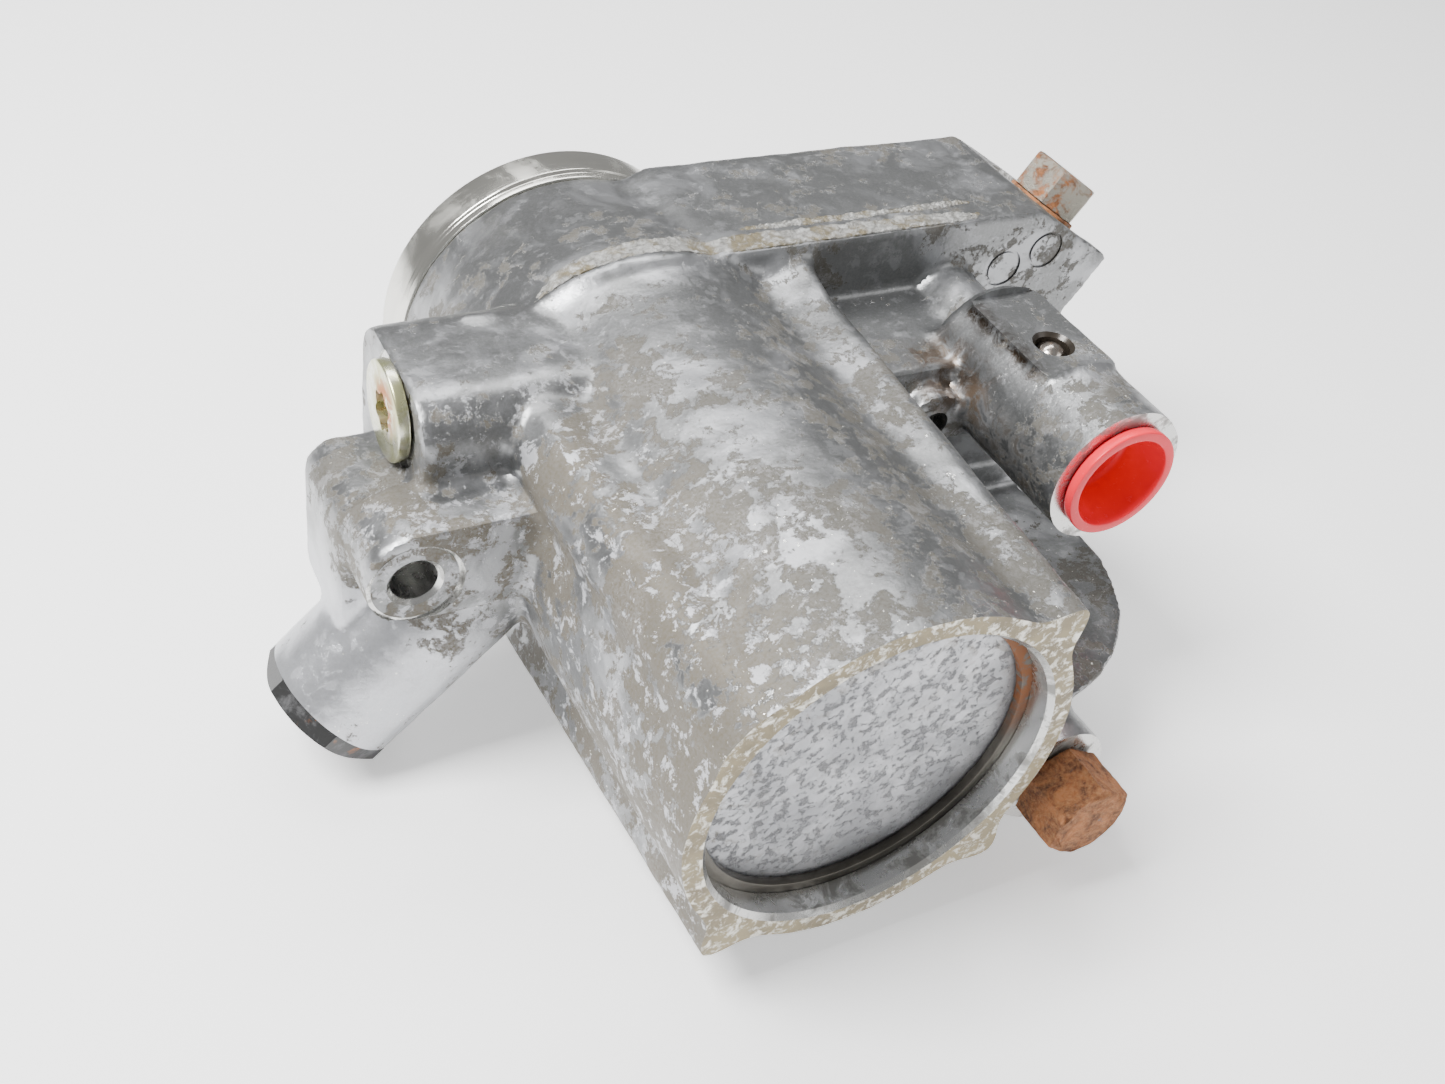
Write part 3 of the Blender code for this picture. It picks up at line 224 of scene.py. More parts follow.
def slab(outline, rear, front):
    """Extrude an outline of (x, z) points along the shaft."""
    form = bmesh.new()
    face = form.faces.new([form.verts.new((x, rear, z)) for x, z in outline])
    pushed(form, [face], (0, front - rear, 0))
    bmesh.ops.recalc_face_normals(form, faces=form.faces)
    return form


def hexagon(flats, start, height, direction, chamfer, turn=0.0):
    """A hexagonal head whose outer corners are turned off to a circle."""
    corner = flats / math.sqrt(3)
    form = bmesh.new()
    bmesh.ops.create_cone(form, cap_ends=True, segments=6, radius1=corner, radius2=corner, depth=height)
    bmesh.ops.translate(form, vec=(0, 0, height / 2), verts=form.verts)
    bmesh.ops.subdivide_edges(form, edges=form.edges[:], cuts=14, use_grid_fill=True)
    bmesh.ops.triangulate(form, faces=[face for face in form.faces if len(face.verts) > 4])
    bmesh.ops.subdivide_edges(form, edges=[edge for edge in form.edges
                                           if all(abs(vert.co.z - height) < 0.01 or vert.co.z < 0.01
                                                  for vert in edge.verts)], cuts=3)
    for vert in form.verts:
        reach = math.hypot(vert.co.x, vert.co.y)
        over = max(reach - (flats / 2 - 0.3), 0)
        limit = height - over * math.tan(math.radians(30)) * chamfer
        if vert.co.z > limit:
            vert.co.z = limit
    bmesh.ops.transform(form, matrix=aimed(start, direction, turn), verts=form.verts)
    return form


def gathered(*forms):
    """Several closed shapes in one mesh."""
    whole = bmesh.new()
    for form in forms:
        part = bpy.data.meshes.new("part")
        form.to_mesh(part)
        form.free()
        whole.from_mesh(part)
        bpy.data.meshes.remove(part)
    return whole


def softened(form, width, segments=3, angle=35):
    """Bevel the edges that are sharper than an angle."""
    sharp = [edge for edge in form.edges if edge.is_manifold
             and edge.calc_face_angle(0) > math.radians(angle)]
    bmesh.ops.bevel(form, geom=sharp, offset=width, offset_type="OFFSET", segments=segments,
                    profile=0.5, affect="EDGES", material=-1, clamp_overlap=True)
    return form


def laid_out(name, form, *finishes):
    """Turn a shape in millimetres into an object at the origin, in metres."""
    bmesh.ops.transform(form, matrix=Matrix.Translation(RIM_CENTRE) @ Matrix.Scale(MM, 4),
                        verts=form.verts)
    mesh = bpy.data.meshes.new(name)
    form.to_mesh(mesh)
    form.free()
    for finish in finishes:
        mesh.materials.append(finish)
    made = bpy.data.objects.new(name, mesh)
    bpy.context.scene.collection.objects.link(made)
    return made


def settled(made):
    """Bake an object's modifiers into its mesh."""
    bpy.context.view_layer.update()
    graph = bpy.context.evaluated_depsgraph_get()
    mesh = bpy.data.meshes.new_from_object(made.evaluated_get(graph))
    made.modifiers.clear()
    old = made.data
    made.data = mesh
    bpy.data.meshes.remove(old)


def cut_out(made, cutters):
    """Take closed objects away from a piece, then drop them."""
    for cutter in cutters:
        trim = made.modifiers.new(cutter.name, "BOOLEAN")
        trim.operation = "DIFFERENCE"
        trim.solver = "MANIFOLD"
        trim.object = cutter
    settled(made)
    for cutter in cutters:
        bpy.data.objects.remove(cutter)


def shown(made, body, slot_name, *nodes, angle=32):
    """Shade a finished piece, put it on its body and let it stand for its CAD nodes."""
    made.data.shade_smooth()
    made.data.set_sharp_from_angle(angle=math.radians(angle))
    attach(made, body)
    if nodes:
        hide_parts(*nodes)


# Finishes

class Finish:
    """One node material, built a layer at a time on Object coordinates."""

    def __init__(self, name, base, roughness, metallic=0.0, **settings):
        self.material = bpy.data.materials.new(name)
        self.material.use_nodes = True
        self.tree = self.material.node_tree
        self.shader = self.tree.nodes["Principled BSDF"]
        self.done(base, roughness, metallic)
        for key, value in settings.items():
            self.shader.inputs[key.replace("_", " ")].default_value = value
        self.material.diffuse_color = (*base, 1)
        self.place = self.node("ShaderNodeTexCoord", {}).outputs["Object"]

    def node(self, kind, feeds, **settings):
        """A new node with its settings, and what feeds its sockets."""
        made = self.tree.nodes.new(kind)
        for key, value in settings.items():
            setattr(made, key, value)
        for socket, source in feeds.items():
            self.link(source, made.inputs[socket])
        return made

    def link(self, source, socket):
        """Feed a socket with another node's output, a number, a place or a colour."""
        if isinstance(source, bpy.types.NodeSocket):
            self.tree.links.new(source, socket)
        elif socket.type == "RGBA":
            socket.default_value = (*source, 1)
        else:
            socket.default_value = source

    def ringed(self):
        """Object coordinates about the shaft, stretched so that a pattern runs in rings."""
        return self.node("ShaderNodeMapping", {"Vector": self.place, "Location": RIM_CENTRE,
                                               "Scale": (60, 1, 60)}, vector_type="TEXTURE").outputs[0]

    def noise(self, size, detail=6.0, rough=0.6, warp=0.0, vector=None):
        """Cloudy noise whose spots are about size metres across."""
        return self.node("ShaderNodeTexNoise", {
            "Vector": vector or self.place, "Scale": 1 / size, "Detail": detail, "Roughness": rough,
            "Distortion": warp}).outputs["Fac"]

    def between(self, source, low, high, smooth=False):
        """0 below low, 1 above high; the other way round when low is above high."""
        return self.node("ShaderNodeMapRange", {"Value": source, "From Min": low, "From Max": high},
                         interpolation_type="SMOOTHSTEP" if smooth else "LINEAR").outputs["Result"]

    def patches(self, cloud, low, high, smooth=False):
        """Noise with the given settings, cut to 0 below low and 1 above high."""
        return self.between(self.noise(*cloud), low, high, smooth)

    def scaled(self, source, low, high):
        """0 to 1 turned into low to high."""
        return self.node("ShaderNodeMapRange", {"Value": source, "To Min": low,
                                                "To Max": high}).outputs["Result"]

    def sum(self, operation, first, second):
        return self.node("ShaderNodeMath", {0: first, 1: second}, operation=operation,
                         use_clamp=operation != "SUBTRACT").outputs[0]

    def times(self, first, second):
        return self.sum("MULTIPLY", first, second)

    def plus(self, first, second):
        return self.sum("ADD", first, second)

    def axis(self, name):
        return self.node("ShaderNodeSeparateXYZ", {0: self.place}).outputs[name]

    def near(self, point, inner, outer):
        """1 within inner metres of a point, 0 beyond outer metres."""
        gap = self.node("ShaderNodeVectorMath", {0: self.place, 1: point}, operation="DISTANCE")
        return self.between(gap.outputs["Value"], outer, inner, smooth=True)

    def within(self, low, high, soft):
        """1 inside a box given in millimetres, fading out over a soft edge."""
        inside = 1.0
        for name, start, end in zip("XYZ", world(low), world(high)):
            along = self.axis(name)
            inside = self.times(inside, self.between(along, start - soft * MM, start))
            inside = self.times(inside, self.between(along, end + soft * MM, end))
        return inside

    def layer(self, under, over, amount):
        """Colour over another colour where amount is 1."""
        return self.node("ShaderNodeMix", {"Factor": amount, 6: under, 7: over},
                         data_type="RGBA").outputs[2]

    def blend(self, under, over, amount):
        """A number over another number where amount is 1."""
        return self.node("ShaderNodeMix", {"Factor": amount, 2: under, 3: over},
                         data_type="FLOAT").outputs[0]

    def relief(self, height, depth, strength, after=None):
        """Bump of a depth in metres, laid on another bump if there is one."""
        feeds = {"Strength": strength, "Distance": depth, "Height": height}
        if after:
            feeds["Normal"] = after
        return self.node("ShaderNodeBump", feeds).outputs["Normal"]

    def done(self, base=None, roughness=None, metallic=None, normal=None):
        for name, source in (("Base Color", base), ("Roughness", roughness), ("Metallic", metallic),
                             ("Normal", normal)):
            if source is not None:
                self.link(source, self.shader.inputs[name])
        return self.material


def casting_finish():
    """Oxidised die-cast aluminium: brown film, white bloom, bright scuffs, oil stains, painted shade in the
    crevice by the port and along the pad's step, and a painted highlight by the slanted boss.
    """
    tint = colours()
    look = Finish("casting_skin", tint.casting, 0.42, 0.75)
    dirty = look.between(look.axis("Y"), world((0, 150, 0)).y, world((0, 20, 0)).y, smooth=True)
    side = look.between(look.axis("X"), world((-8, 0, 0)).x, world((-42, 0, 0)).x, smooth=True)
    side = look.times(side, look.between(dirty, 0.15, 0.6))
    # Near the slanted boss the film thins to clean metal, and a pale grey is painted on there as a
    # highlight.
    clean_metal_and_highlight = look.times(look.near(world((-82, 104, -36)), 0.026, 0.044), 0.75)
    cloud = look.noise(0.030, 4, 0.55, 0.4)
    flake = look.noise(0.0060, 10, 0.74, 0.25)
    mottling = look.plus(look.scaled(flake, 0, 0.62), look.scaled(cloud, 0, 0.42))
    mottling = look.plus(mottling, look.scaled(side, 0, 0.046))
    mottling = look.plus(mottling, look.scaled(dirty, -0.030, 0.008))
    mottling = look.sum("SUBTRACT", mottling, look.scaled(clean_metal_and_highlight, 0, 0.07))
    film = look.between(mottling, 0.536, 0.556)
    pale = look.patches((0.020, 7, 0.62, 0.5), 0.47, 0.62, smooth=True)
    white = look.patches((0.0050, 10, 0.74, 0.3), 0.555, 0.585)
    white = look.times(white, look.scaled(side, 0.18, 0.9))
    white = look.times(white, look.scaled(clean_metal_and_highlight, 1, 0.15))
    speck = look.patches((0.0016, 5, 0.7), 0.655, 0.69)
    speck = look.times(speck, look.scaled(dirty, 0.15, 1.0))
    grit = look.patches((0.0008, 3, 0.65), 0.38, 0.66)
    skin = look.layer(tint.casting, tint.casting_light, pale)
    # Painted highlight: pale grey laid on the slanted boss.
    skin = look.layer(skin, (0.60, 0.61, 0.64), clean_metal_and_highlight)
    skin = look.layer(skin, tint.casting_light, look.scaled(grit, 0, 0.25))
    cover = look.times(film, look.scaled(grit, 0.68, 1.0))
    skin = look.layer(skin, look.layer(tint.grime, tint.tan, side), cover)
    skin = look.layer(skin, tint.bloom, white)
    skin = look.layer(skin, (0.95, 0.94, 0.88), speck)
    # Patchy noise that shapes the stains, the rust run and the painted shade by the port and the pad's step.
    stain_and_shade_patches = look.patches((0.005, 7, 0.7, 0.8), 0.42, 0.56)
    # Painted shadow along the pad's left step, mixed with a stain in its crevice.
    pad_step_shadow_and_stain = look.times(look.within((81.5, 76, 29), (84.5, 105, 40), 2.5), stain_and_shade_patches)
    # Painted shade: a near-black, non-metallic patch in the crevice between the barrel and the port boss.
    port_crevice_shade = look.times(look.within((70, 60, 4), (79, 86, 27), 5), stain_and_shade_patches)
    web_stain = look.times(look.within((66, 86, 24), (80, 104, 31), 6), stain_and_shade_patches)
    rust_run = look.times(look.near(world((46, 4, -2)), 0.004, 0.026), stain_and_shade_patches)
    # Painted shade darkens the crevice between the barrel and the port boss.
    skin = look.layer(skin, (0.030, 0.024, 0.018), look.scaled(port_crevice_shade, 0, 0.85))
    skin = look.layer(skin, (0.085, 0.050, 0.022), look.scaled(web_stain, 0, 0.75))
    # Painted shadow and stain along the pad's left step.
    skin = look.layer(skin, (0.035, 0.024, 0.015), pad_step_shadow_and_stain)
    skin = look.layer(skin, (0.30, 0.13, 0.05), rust_run)
    rough = look.blend(0.33, 0.60, film)
    rough = look.blend(rough, 0.55, white)
    rough = look.blend(rough, 0.25, speck)
    metal = look.blend(0.85, 0.30, film)
    metal = look.blend(metal, 0.40, white)
    metal = look.blend(metal, 0.0, port_crevice_shade)
    grain = look.relief(look.noise(0.0011, 4, 0.65), 0.00012, 0.6)
    crust = look.relief(look.plus(look.scaled(film, 0, 0.5), look.scaled(white, 0, 0.5)),
                        0.00010, 0.8, grain)
    return look.done(skin, rough, metal, crust)


def oily_finish():
    """A hole blackened by old oil."""
    look = Finish("oily_bore_skin", (0.018, 0.015, 0.012), 0.25, 0.3)
    film = look.noise(0.002, 5, 0.6, 0.3)
    return look.done(look.layer((0.012, 0.010, 0.008), (0.05, 0.04, 0.03), film))


def machined_finish():
    """Cut aluminium with fine turning marks and a few stains."""
    tint = colours()
    look = Finish("machined_aluminium_skin", tint.machined, 0.3, 0.95)
    stain = look.patches((0.008, 8, 0.66, 0.4), 0.50, 0.60)
    skin = look.layer(tint.machined, tint.grime, look.scaled(stain, 0, 0.62))
    rough = look.blend(0.24, 0.5, stain)
    marks = look.relief(look.noise(0.0006, 3, 0.5), 0.00005, 0.4)
    return look.done(skin, rough, look.blend(0.95, 0.5, stain), marks)


def rim_finish():
    """The flat rear rim: a golden film worn through to bright specks."""
    tint = colours()
    look = Finish("worn_rim_skin", tint.machined, 0.35, 0.8)
    worn = look.patches((0.003, 9, 0.72, 0.4), 0.50, 0.58)
    film = look.patches((0.012, 6, 0.6, 0.5), 0.40, 0.60)
    skin = look.layer((0.30, 0.25, 0.15), (0.20, 0.165, 0.105), film)
    skin = look.layer(skin, (0.66, 0.64, 0.57), worn)
    return look.done(skin, look.blend(0.5, 0.28, worn), look.blend(0.45, 0.9, worn),
                     look.relief(worn, 0.00008, 0.6))


def turned_finish(name, base, rough, dirt):
    """Lathe-turned metal, with rings that follow the shaft."""
    look = Finish(name, base, rough, 1.0)
    streaks = look.noise(0.0006, 3, 0.5, 0.0, look.ringed())
    bands = look.noise(0.004, 2, 0.5, 0.0, look.ringed())
    film = look.patches((0.018, 7, 0.6, 0.4), 0.50, 0.64)
    skin = look.layer(base, tuple(0.72 * part for part in base), look.scaled(bands, 0, 0.8))
    skin = look.layer(skin, tuple(0.5 * part for part in base), look.scaled(film, 0, dirt))
    return look.done(skin, look.blend(rough, rough + 0.22, film), None,
                     look.relief(streaks, TURNING_DEPTH, 0.5))


def rusty_finish(name, base, cover, rust_at=0.5):
    """Steel under rust; cover is the share of the skin that has rusted."""
    tint = colours()
    look = Finish(name, base, 0.5, 0.4)
    edge = 1 - cover
    rusted = look.patches((0.006, 9, 0.66, 0.5), 0.30 + 0.4 * edge - 0.04,
                          0.30 + 0.4 * edge + 0.05)
    tone = look.patches((0.0055, 9, 0.72, 0.6), 0.40, 0.60)
    flake = look.patches((0.0011, 6, 0.75), 0.40, 0.66)
    rust = look.layer(tint.rust_dark, tint.rust, tone)
    rust = look.layer(rust, (0.56, 0.27, 0.12), look.scaled(flake, 0, rust_at))
    skin = look.layer(base, rust, rusted)
    return look.done(skin, look.blend(0.36, 0.88, rusted), look.blend(0.9, 0.05, rusted),
                     look.relief(look.plus(look.scaled(flake, 0, 0.5), look.scaled(tone, 0, 0.5)),
                                 0.00035, 0.9))


def plain_metal(name, base, rough, size=0.004):
    """Clean worked metal for pieces that are mostly out of sight."""
    look = Finish(name, base, rough, 1.0)
    film = look.noise(size, 6, 0.6, 0.2)
    skin = look.layer(base, tuple(0.6 * part for part in base), look.scaled(film, 0, 0.7))
    return look.done(skin, look.blend(rough - 0.06, rough + 0.14, film), None,
                     look.relief(look.noise(size / 6, 3, 0.6), 0.00004, 0.4))


def rubber_finish():
    look = Finish("seal_rubber_skin", colours().rubber, 0.6)
    dust = look.patches((0.003, 7, 0.65), 0.45, 0.75)
    skin = look.layer(colours().rubber, (0.10, 0.10, 0.095), dust)
    return look.done(skin, look.blend(0.5, 0.8, dust), None,
                     look.relief(look.noise(0.0006, 4, 0.6), 0.00006, 0.5))


def cap_finish():
    """Glossy moulded plastic with faint flow marks and scuffs."""
    tint = colours()
    look = Finish("cap_plastic", tint.cap, 0.4, 0.0, Specular_IOR_Level=0.25)
    flow = look.noise(0.006, 4, 0.5, 0.6)
    scuff = look.patches((0.0014, 6, 0.75), 0.60, 0.72)
    skin = look.layer(tint.cap, (0.85, 0.014, 0.036), look.scaled(flow, 0, 0.6))
    skin = look.layer(skin, (1.0, 0.15, 0.17), look.scaled(scuff, 0, 0.15))
    return look.done(skin, look.blend(0.24, 0.45, scuff), None,
                     look.relief(look.noise(0.0012, 3, 0.5), 0.00004, 0.4))


def disc_finish():
    """The pitted end disc: pale zinc grey with dark oxide flecks and a brown edge."""
    look = Finish("end_disc_skin", (0.56, 0.57, 0.60), 0.45, 0.6)
    pits = look.patches((0.0024, 9, 0.76, 0.15), 0.52, 0.60)
    cloud = look.patches((0.014, 6, 0.62, 0.4), 0.44, 0.62)
    tan = look.patches((0.006, 9, 0.70, 0.5), 0.54, 0.60)
    rim = look.near(world((8, 9.8, -8)), 0.046, 0.026)
    skin = look.layer((0.35, 0.355, 0.372), (0.52, 0.525, 0.545), cloud)
    skin = look.layer(skin, (0.21, 0.19, 0.155), look.times(tan, look.scaled(rim, 0.15, 0.8)))
    skin = look.layer(skin, (0.17, 0.17, 0.175), look.scaled(pits, 0, 0.7))
    depth = look.relief(pits, -0.00018, 0.8)
    return look.done(skin, look.blend(0.38, 0.7, pits), look.blend(0.65, 0.2, pits), depth)


def flash_finish():
    """Torn parting flash, pale and crumbly with tan hollows."""
    look = Finish("flash_skin", (0.62, 0.61, 0.56), 0.5, 0.5)
    crumb = look.noise(0.0022, 8, 0.75, 0.5)
    tan = look.patches((0.012, 6, 0.6, 0.4), 0.46, 0.56)
    skin = look.layer((0.21, 0.205, 0.19), (0.52, 0.52, 0.505), look.between(crumb, 0.42, 0.66))
    skin = look.layer(skin, (0.19, 0.16, 0.10), look.times(tan, look.between(crumb, 0.6, 0.45)))
    return look.done(skin, look.blend(0.3, 0.7, crumb), None, look.relief(crumb, 0.0006, 1.0))


# Casting

def ridge_radius(angle, share):
    """The barrel's outside at an angle: a circle with a soft ridge at each corner."""
    reach = BARREL_RADIUS + BARREL_DRAFT * share
    for place, (rim_height, spread, bluntness) in RIDGES.items():
        offset = abs((math.degrees(angle) - place + 180) % 360 - 180)
        height = rim_height + (RIDGE_HEIGHT - rim_height) * share
        reach += height * math.exp(-(offset / spread) ** bluntness)
    return reach


def barrel():
    """The ridged barrel, flaring into the front shoulder."""
    form = bmesh.new()
    ring = bmesh.ops.create_circle(form, cap_ends=True, radius=1, segments=360)["verts"]
    bmesh.ops.rotate(form, cent=(0, 0, 0), matrix=Matrix.Rotation(math.radians(90), 3, "X"), verts=ring)
    stations = [-4.0, 0.0, 60.0, BARREL_LENGTH - SHOULDER_RUN]
    stations += [BARREL_LENGTH - SHOULDER_RUN * (1 - step / 8) for step in range(1, 9)]
    bmesh.ops.translate(form, vec=(0, stations[0], 0), verts=ring)
    face = form.faces[:]
    for rear, front in zip(stations, stations[1:]):
        old = face
        grown = pushed(form, old, (0, front - rear, 0))
        face = [item for item in grown if isinstance(item, bmesh.types.BMFace)]
        if rear > stations[0]:
            bmesh.ops.delete(form, geom=old, context="FACES_ONLY")
    for vert in form.verts:
        angle = math.atan2(vert.co.z, vert.co.x)
        share = vert.co.y / BARREL_LENGTH
        reach = ridge_radius(angle, share)
        run = max(vert.co.y - (BARREL_LENGTH - SHOULDER_RUN), 0) / SHOULDER_RUN
        reach += SHOULDER_RISE * (1 - math.sqrt(max(1 - run * run, 0)))
        vert.co.x, vert.co.z = reach * math.cos(angle), reach * math.sin(angle)
    bmesh.ops.recalc_face_normals(form, faces=form.faces)
    return form


def arm_outline():
    """The arm seen from the rear."""
    along = Vector((TOP_SEAT_OUT.z, -TOP_SEAT_OUT.x))
    normal = Vector((TOP_SEAT_OUT.x, TOP_SEAT_OUT.z))
    seat = Vector((TOP_SEAT.x, TOP_SEAT.z)) + normal * 2.0
    shoulder, tip = seat - along * 14.5, seat + along * 14.5
    foot = tip - normal * 20.0
    return [(0, 41.0), (19.5, 49.2), (shoulder.x - 6, 49.0), shoulder, tip, foot, (138, -10), (93, -14),
            (30, -42.5), (0, -45)]


def casting_shells():
    """The cast shapes, each a little past the faces that are machined later."""
    ear = rounded_tab(-88.5, -24.0, 18.5, 8.0)
    lug = rounded_tab(-87.5, -2.5, 23.0, 11.5)
    return [
        barrel(),
        lathe([(0, 129), (51.8, 129), (51.6, 141), (49.0, 158), (46.8, 171), (45.6, 184), (0, 184)],
              (0, 0, 0), Y_AXIS),
        slab(arm_outline(), ARM_REAR, ARM_FRONT),
        rod(19, PORT - Y_AXIS * 4, 64),
        rod(11.5, PORT - Y_AXIS * 4, 88),
        block((85.5, 98, -29.5), (117.5, 140, -8.5)),
        block((82, 72, 24), (104, 106, 44)),
        block((42, 96, 4), (93, 134, 30)),
        rod(9, (66, 89, 17), 14),
        lathe([(0, -12), (43.5, -12), (51.5, -2), (51.5, 0), (0, 0)], FLANGE, Z_AXIS),
        rod(14.5, BOLT_BOSS - Y_AXIS * 3, 59),
        block((31, 10, -42.5), (62, 62, -22)),
        plug_block(),
        slab(lug, 80, 99), slab(ear, 97, 126),
        rod(18.5, SLANT_END + SLANT_OUT * 3, 80, -SLANT_OUT),
    ]


def corner(x, z, rounding, first):
    """Points on a quarter circle that starts at the angle first."""
    for step in range(CORNER_STEPS + 1):
        angle = math.radians(first + 90 * step / CORNER_STEPS)
        yield x + rounding * math.cos(angle), z + rounding * math.sin(angle)


def plug_block():
    """The block around the left plug, with its two upper edges rounded."""
    outline = [(-141, -14), (-95, -14), *corner(-107, 30.0, 12, 0), *corner(-129, 30.0, 12, 90)]
    form = slab(outline, BLOCK_FACE - 0.2, 0)
    bmesh.ops.rotate(form, cent=(0, 0, 0), matrix=Matrix.Rotation(math.radians(-90), 3, "Z"),
                     verts=form.verts)
    return form


def rounded_tab(left, bottom, top, rounding):
    """A tab outline with its two outer corners rounded."""
    return [(-42.3, bottom), (-42.3, top), *corner(left + rounding, top - rounding, rounding, 90),
            *corner(left + rounding, bottom + rounding, rounding, 180)]


def cast_cuts():
    """The pad's flat top, the lug's spot face and plain ejector marks in the arm's rear face."""
    marks = [lathe([(4.9, -3), (5.8, -3), (5.8, 0.45), (4.9, 0.45)], (x, ARM_REAR, z), Y_AXIS, 64)
             for x, z in ((98.3, 27.4), (112.8, 32.2), (126.5, 36.2))]
    spot_face = lathe([(0, -6), (11, -6), (11, 1.0), (0, 1.0)], LUG, Y_AXIS, 96)
    return [block((81, 71, PAD_TOP), (105, 107, 50)), spot_face, *marks]


def oily_cuts():
    """The hole that holds the pad's ball, black with oil."""
    return [lathe([(0, -1), (5.6, -1), (5.6, 0), (4.6, 1.0), (4.6, 13), (0, 13)],
                  (PORT.x, PAD_HOLE_Y, PAD_TOP), -Z_AXIS, 64)]


def rim_cut():
    """The rear rim, turned flat once and stained since."""
    return [block((-75, -8, -75), (75, 0, 75))]


def machining():
    """The bright faces and bores that are cut into the casting."""
    return [
        lathe([(0, -3), (BORE_RADIUS + 1.2, -3), (BORE_RADIUS + 1.2, 0), (BORE_RADIUS, 1.2),
               (BORE_RADIUS, 7.0), (BORE_RADIUS + 1.6, 7.0), (BORE_RADIUS + 1.6, 9.6),
               (BORE_RADIUS, 9.6), (BORE_RADIUS, 128), (0, 128)], (0, 0, 0), Y_AXIS),
        lathe([(0, 124), (26.3, 124), (26.3, 146.5), (16, 146.5), (16, 152), (37.3, 152), (37.3, 190),
               (0, 190)], (0, 0, 0), Y_AXIS),
        block((-60, FRONT_FACE, -60), (60, 190, 60)),
        rod(20.5, PORT - Y_AXIS * 10, 10),
        lathe([(0, 49), (15.0, 49), (15.0, 50), (14.5, 50.5), (14.5, 72), (8, 72), (8, 120), (0, 120)],
              (PORT.x, 0, PORT.z), Y_AXIS),
        rod(4, (66, 80, 17), 32, segments=48),
        rod(16.5, BOLT_BOSS - Y_AXIS * 12, 12),
        rod(6.3, BOLT_BOSS - Y_AXIS, 37, segments=48),
        lathe([(0, -1), (13.6, -1), (13.6, 0.25), (8.3, 0.25), (8.3, 14), (0, 14)], LEFT_PLUG, X_AXIS, 64),
        rod(5.5, LUG - Y_AXIS * 10, 66, segments=64),
        # Painted highlight: a groove and a chamfer at the lug's hole take the bright machined finish as the
        # lit edges of a raised lip.
        lathe([(10.2, -3), (11.2, -3), (11.2, 1.4), (10.2, 1.4)], LUG, Y_AXIS, 96),
        lathe([(0, -3), (6.6, -3), (6.6, 1.0), (5.5, 2.0), (0, 2.0)], LUG, Y_AXIS, 64),
        rod(21, SLANT_END + SLANT_OUT * 8, 8, -SLANT_OUT),
        lathe([(0, -1), (14.4, -1), (14.4, 0), (13, 1.2), (13, 22), (0, 22)], SLANT_END, -SLANT_OUT),
        lathe([(0, 9), (19, 9), (19, 0), (0, 0)], TOP_SEAT, TOP_SEAT_OUT, 96),
        lathe([(0, -1), (8.3, -1), (8.3, 15), (0, 15)], TOP_SEAT, -Vector(TOP_SEAT_OUT), 64),
        *[rod(2.5, (x, 168, z), 20, segments=32) for x, z in screw_places()],
    ]


def screw_places():
    """Where the four cover screws stand around the shaft."""
    for turn in range(4):
        angle = math.radians(45 + 90 * turn)
        yield SCREW_CIRCLE * math.cos(angle), SCREW_CIRCLE * math.sin(angle)


def make_casting():
    """Melt the shells together, round their corners, rough the skin and cut the machined faces."""
    finishes = casting_finish(), machined_finish(), rim_finish(), oily_finish()
    casting = laid_out("casting", gathered(*casting_shells()), *finishes)
    melt = casting.modifiers.new("melt", "REMESH")
    melt.mode = "VOXEL"
    melt.voxel_size = VOXEL
    round_off = casting.modifiers.new("round_off", "SMOOTH")
    round_off.factor = 0.5
    round_off.iterations = sizes().fillet_passes
    settled(casting)
    form = bmesh.new()
    form.from_mesh(casting.data)
    depth = sizes().dent_depth
    for vert in form.verts:
        wave = noise.fractal(vert.co / (7 * MM), 0.8, 2.1, 4)
        dent = noise.noise(vert.co / (16 * MM))
        vert.co += vert.normal * depth * (wave + 1.4 * dent)
    form.to_mesh(casting.data)
    form.free()
    cutters = []
    for index, forms in enumerate((cast_cuts(), machining(), rim_cut(), oily_cuts())):
        for form in forms:
            for face in form.faces:
                face.material_index = index
            cutters.append(laid_out("cutter", form, *finishes))
    cut_out(casting, cutters)
    shown(casting, "housing", CAST, "main_housing", angle=28)


def along_path(path, share):
    """The point that far along a line of (x, y) points."""
    place = share * (len(path) - 1)
    first = min(int(place), len(path) - 2)
    return Vector(path[first]).lerp(Vector(path[first + 1]), place - first)


def flash_ribbon(tree, path, half_width, lift, seed):
    """A torn ribbon that lies on the casting and follows a path across it."""
    form = bmesh.new()
    bmesh.ops.create_grid(form, x_segments=300, y_segments=14, size=1)
    for vert in form.verts:
        far, across = (vert.co.x + 1) / 2, vert.co.y
        x, y = along_path(path, far)
        spot = Vector((x, y, seed))
        width = half_width * (1 + 0.35 * noise.noise(spot / 8) + 0.28 * noise.noise(spot / 1.9))
        taper = min(1, 9 * far, 9 * (1 - far))
        y += across * width * (0.35 + 0.65 * taper) + 0.25 * noise.noise(spot / 0.9 + Vector((0, across, 3)))
        y = max(y, ARM_REAR + 0.9)
        start = world((x, y, 80))
        ground = tree.ray_cast(start, -Z_AXIS)[0]
        edge = 1 - abs(across) ** 6
        rim = 1.0 if across > 0.55 else 0.55
        crumb = 0.4 * noise.fractal(Vector((x, y, seed)) / 1.5, 0.8, 2.1, 3)
        height = (lift * rim * taper + crumb) * edge - 0.5 * (1 - edge)
        vert.co = (x, y, (ground.z - RIM_CENTRE.z) / MM + height)
    pushed(form, form.faces[:], (0, 0, -FLASH_THICKNESS))
    bmesh.ops.recalc_face_normals(form, faces=form.faces)
    return form


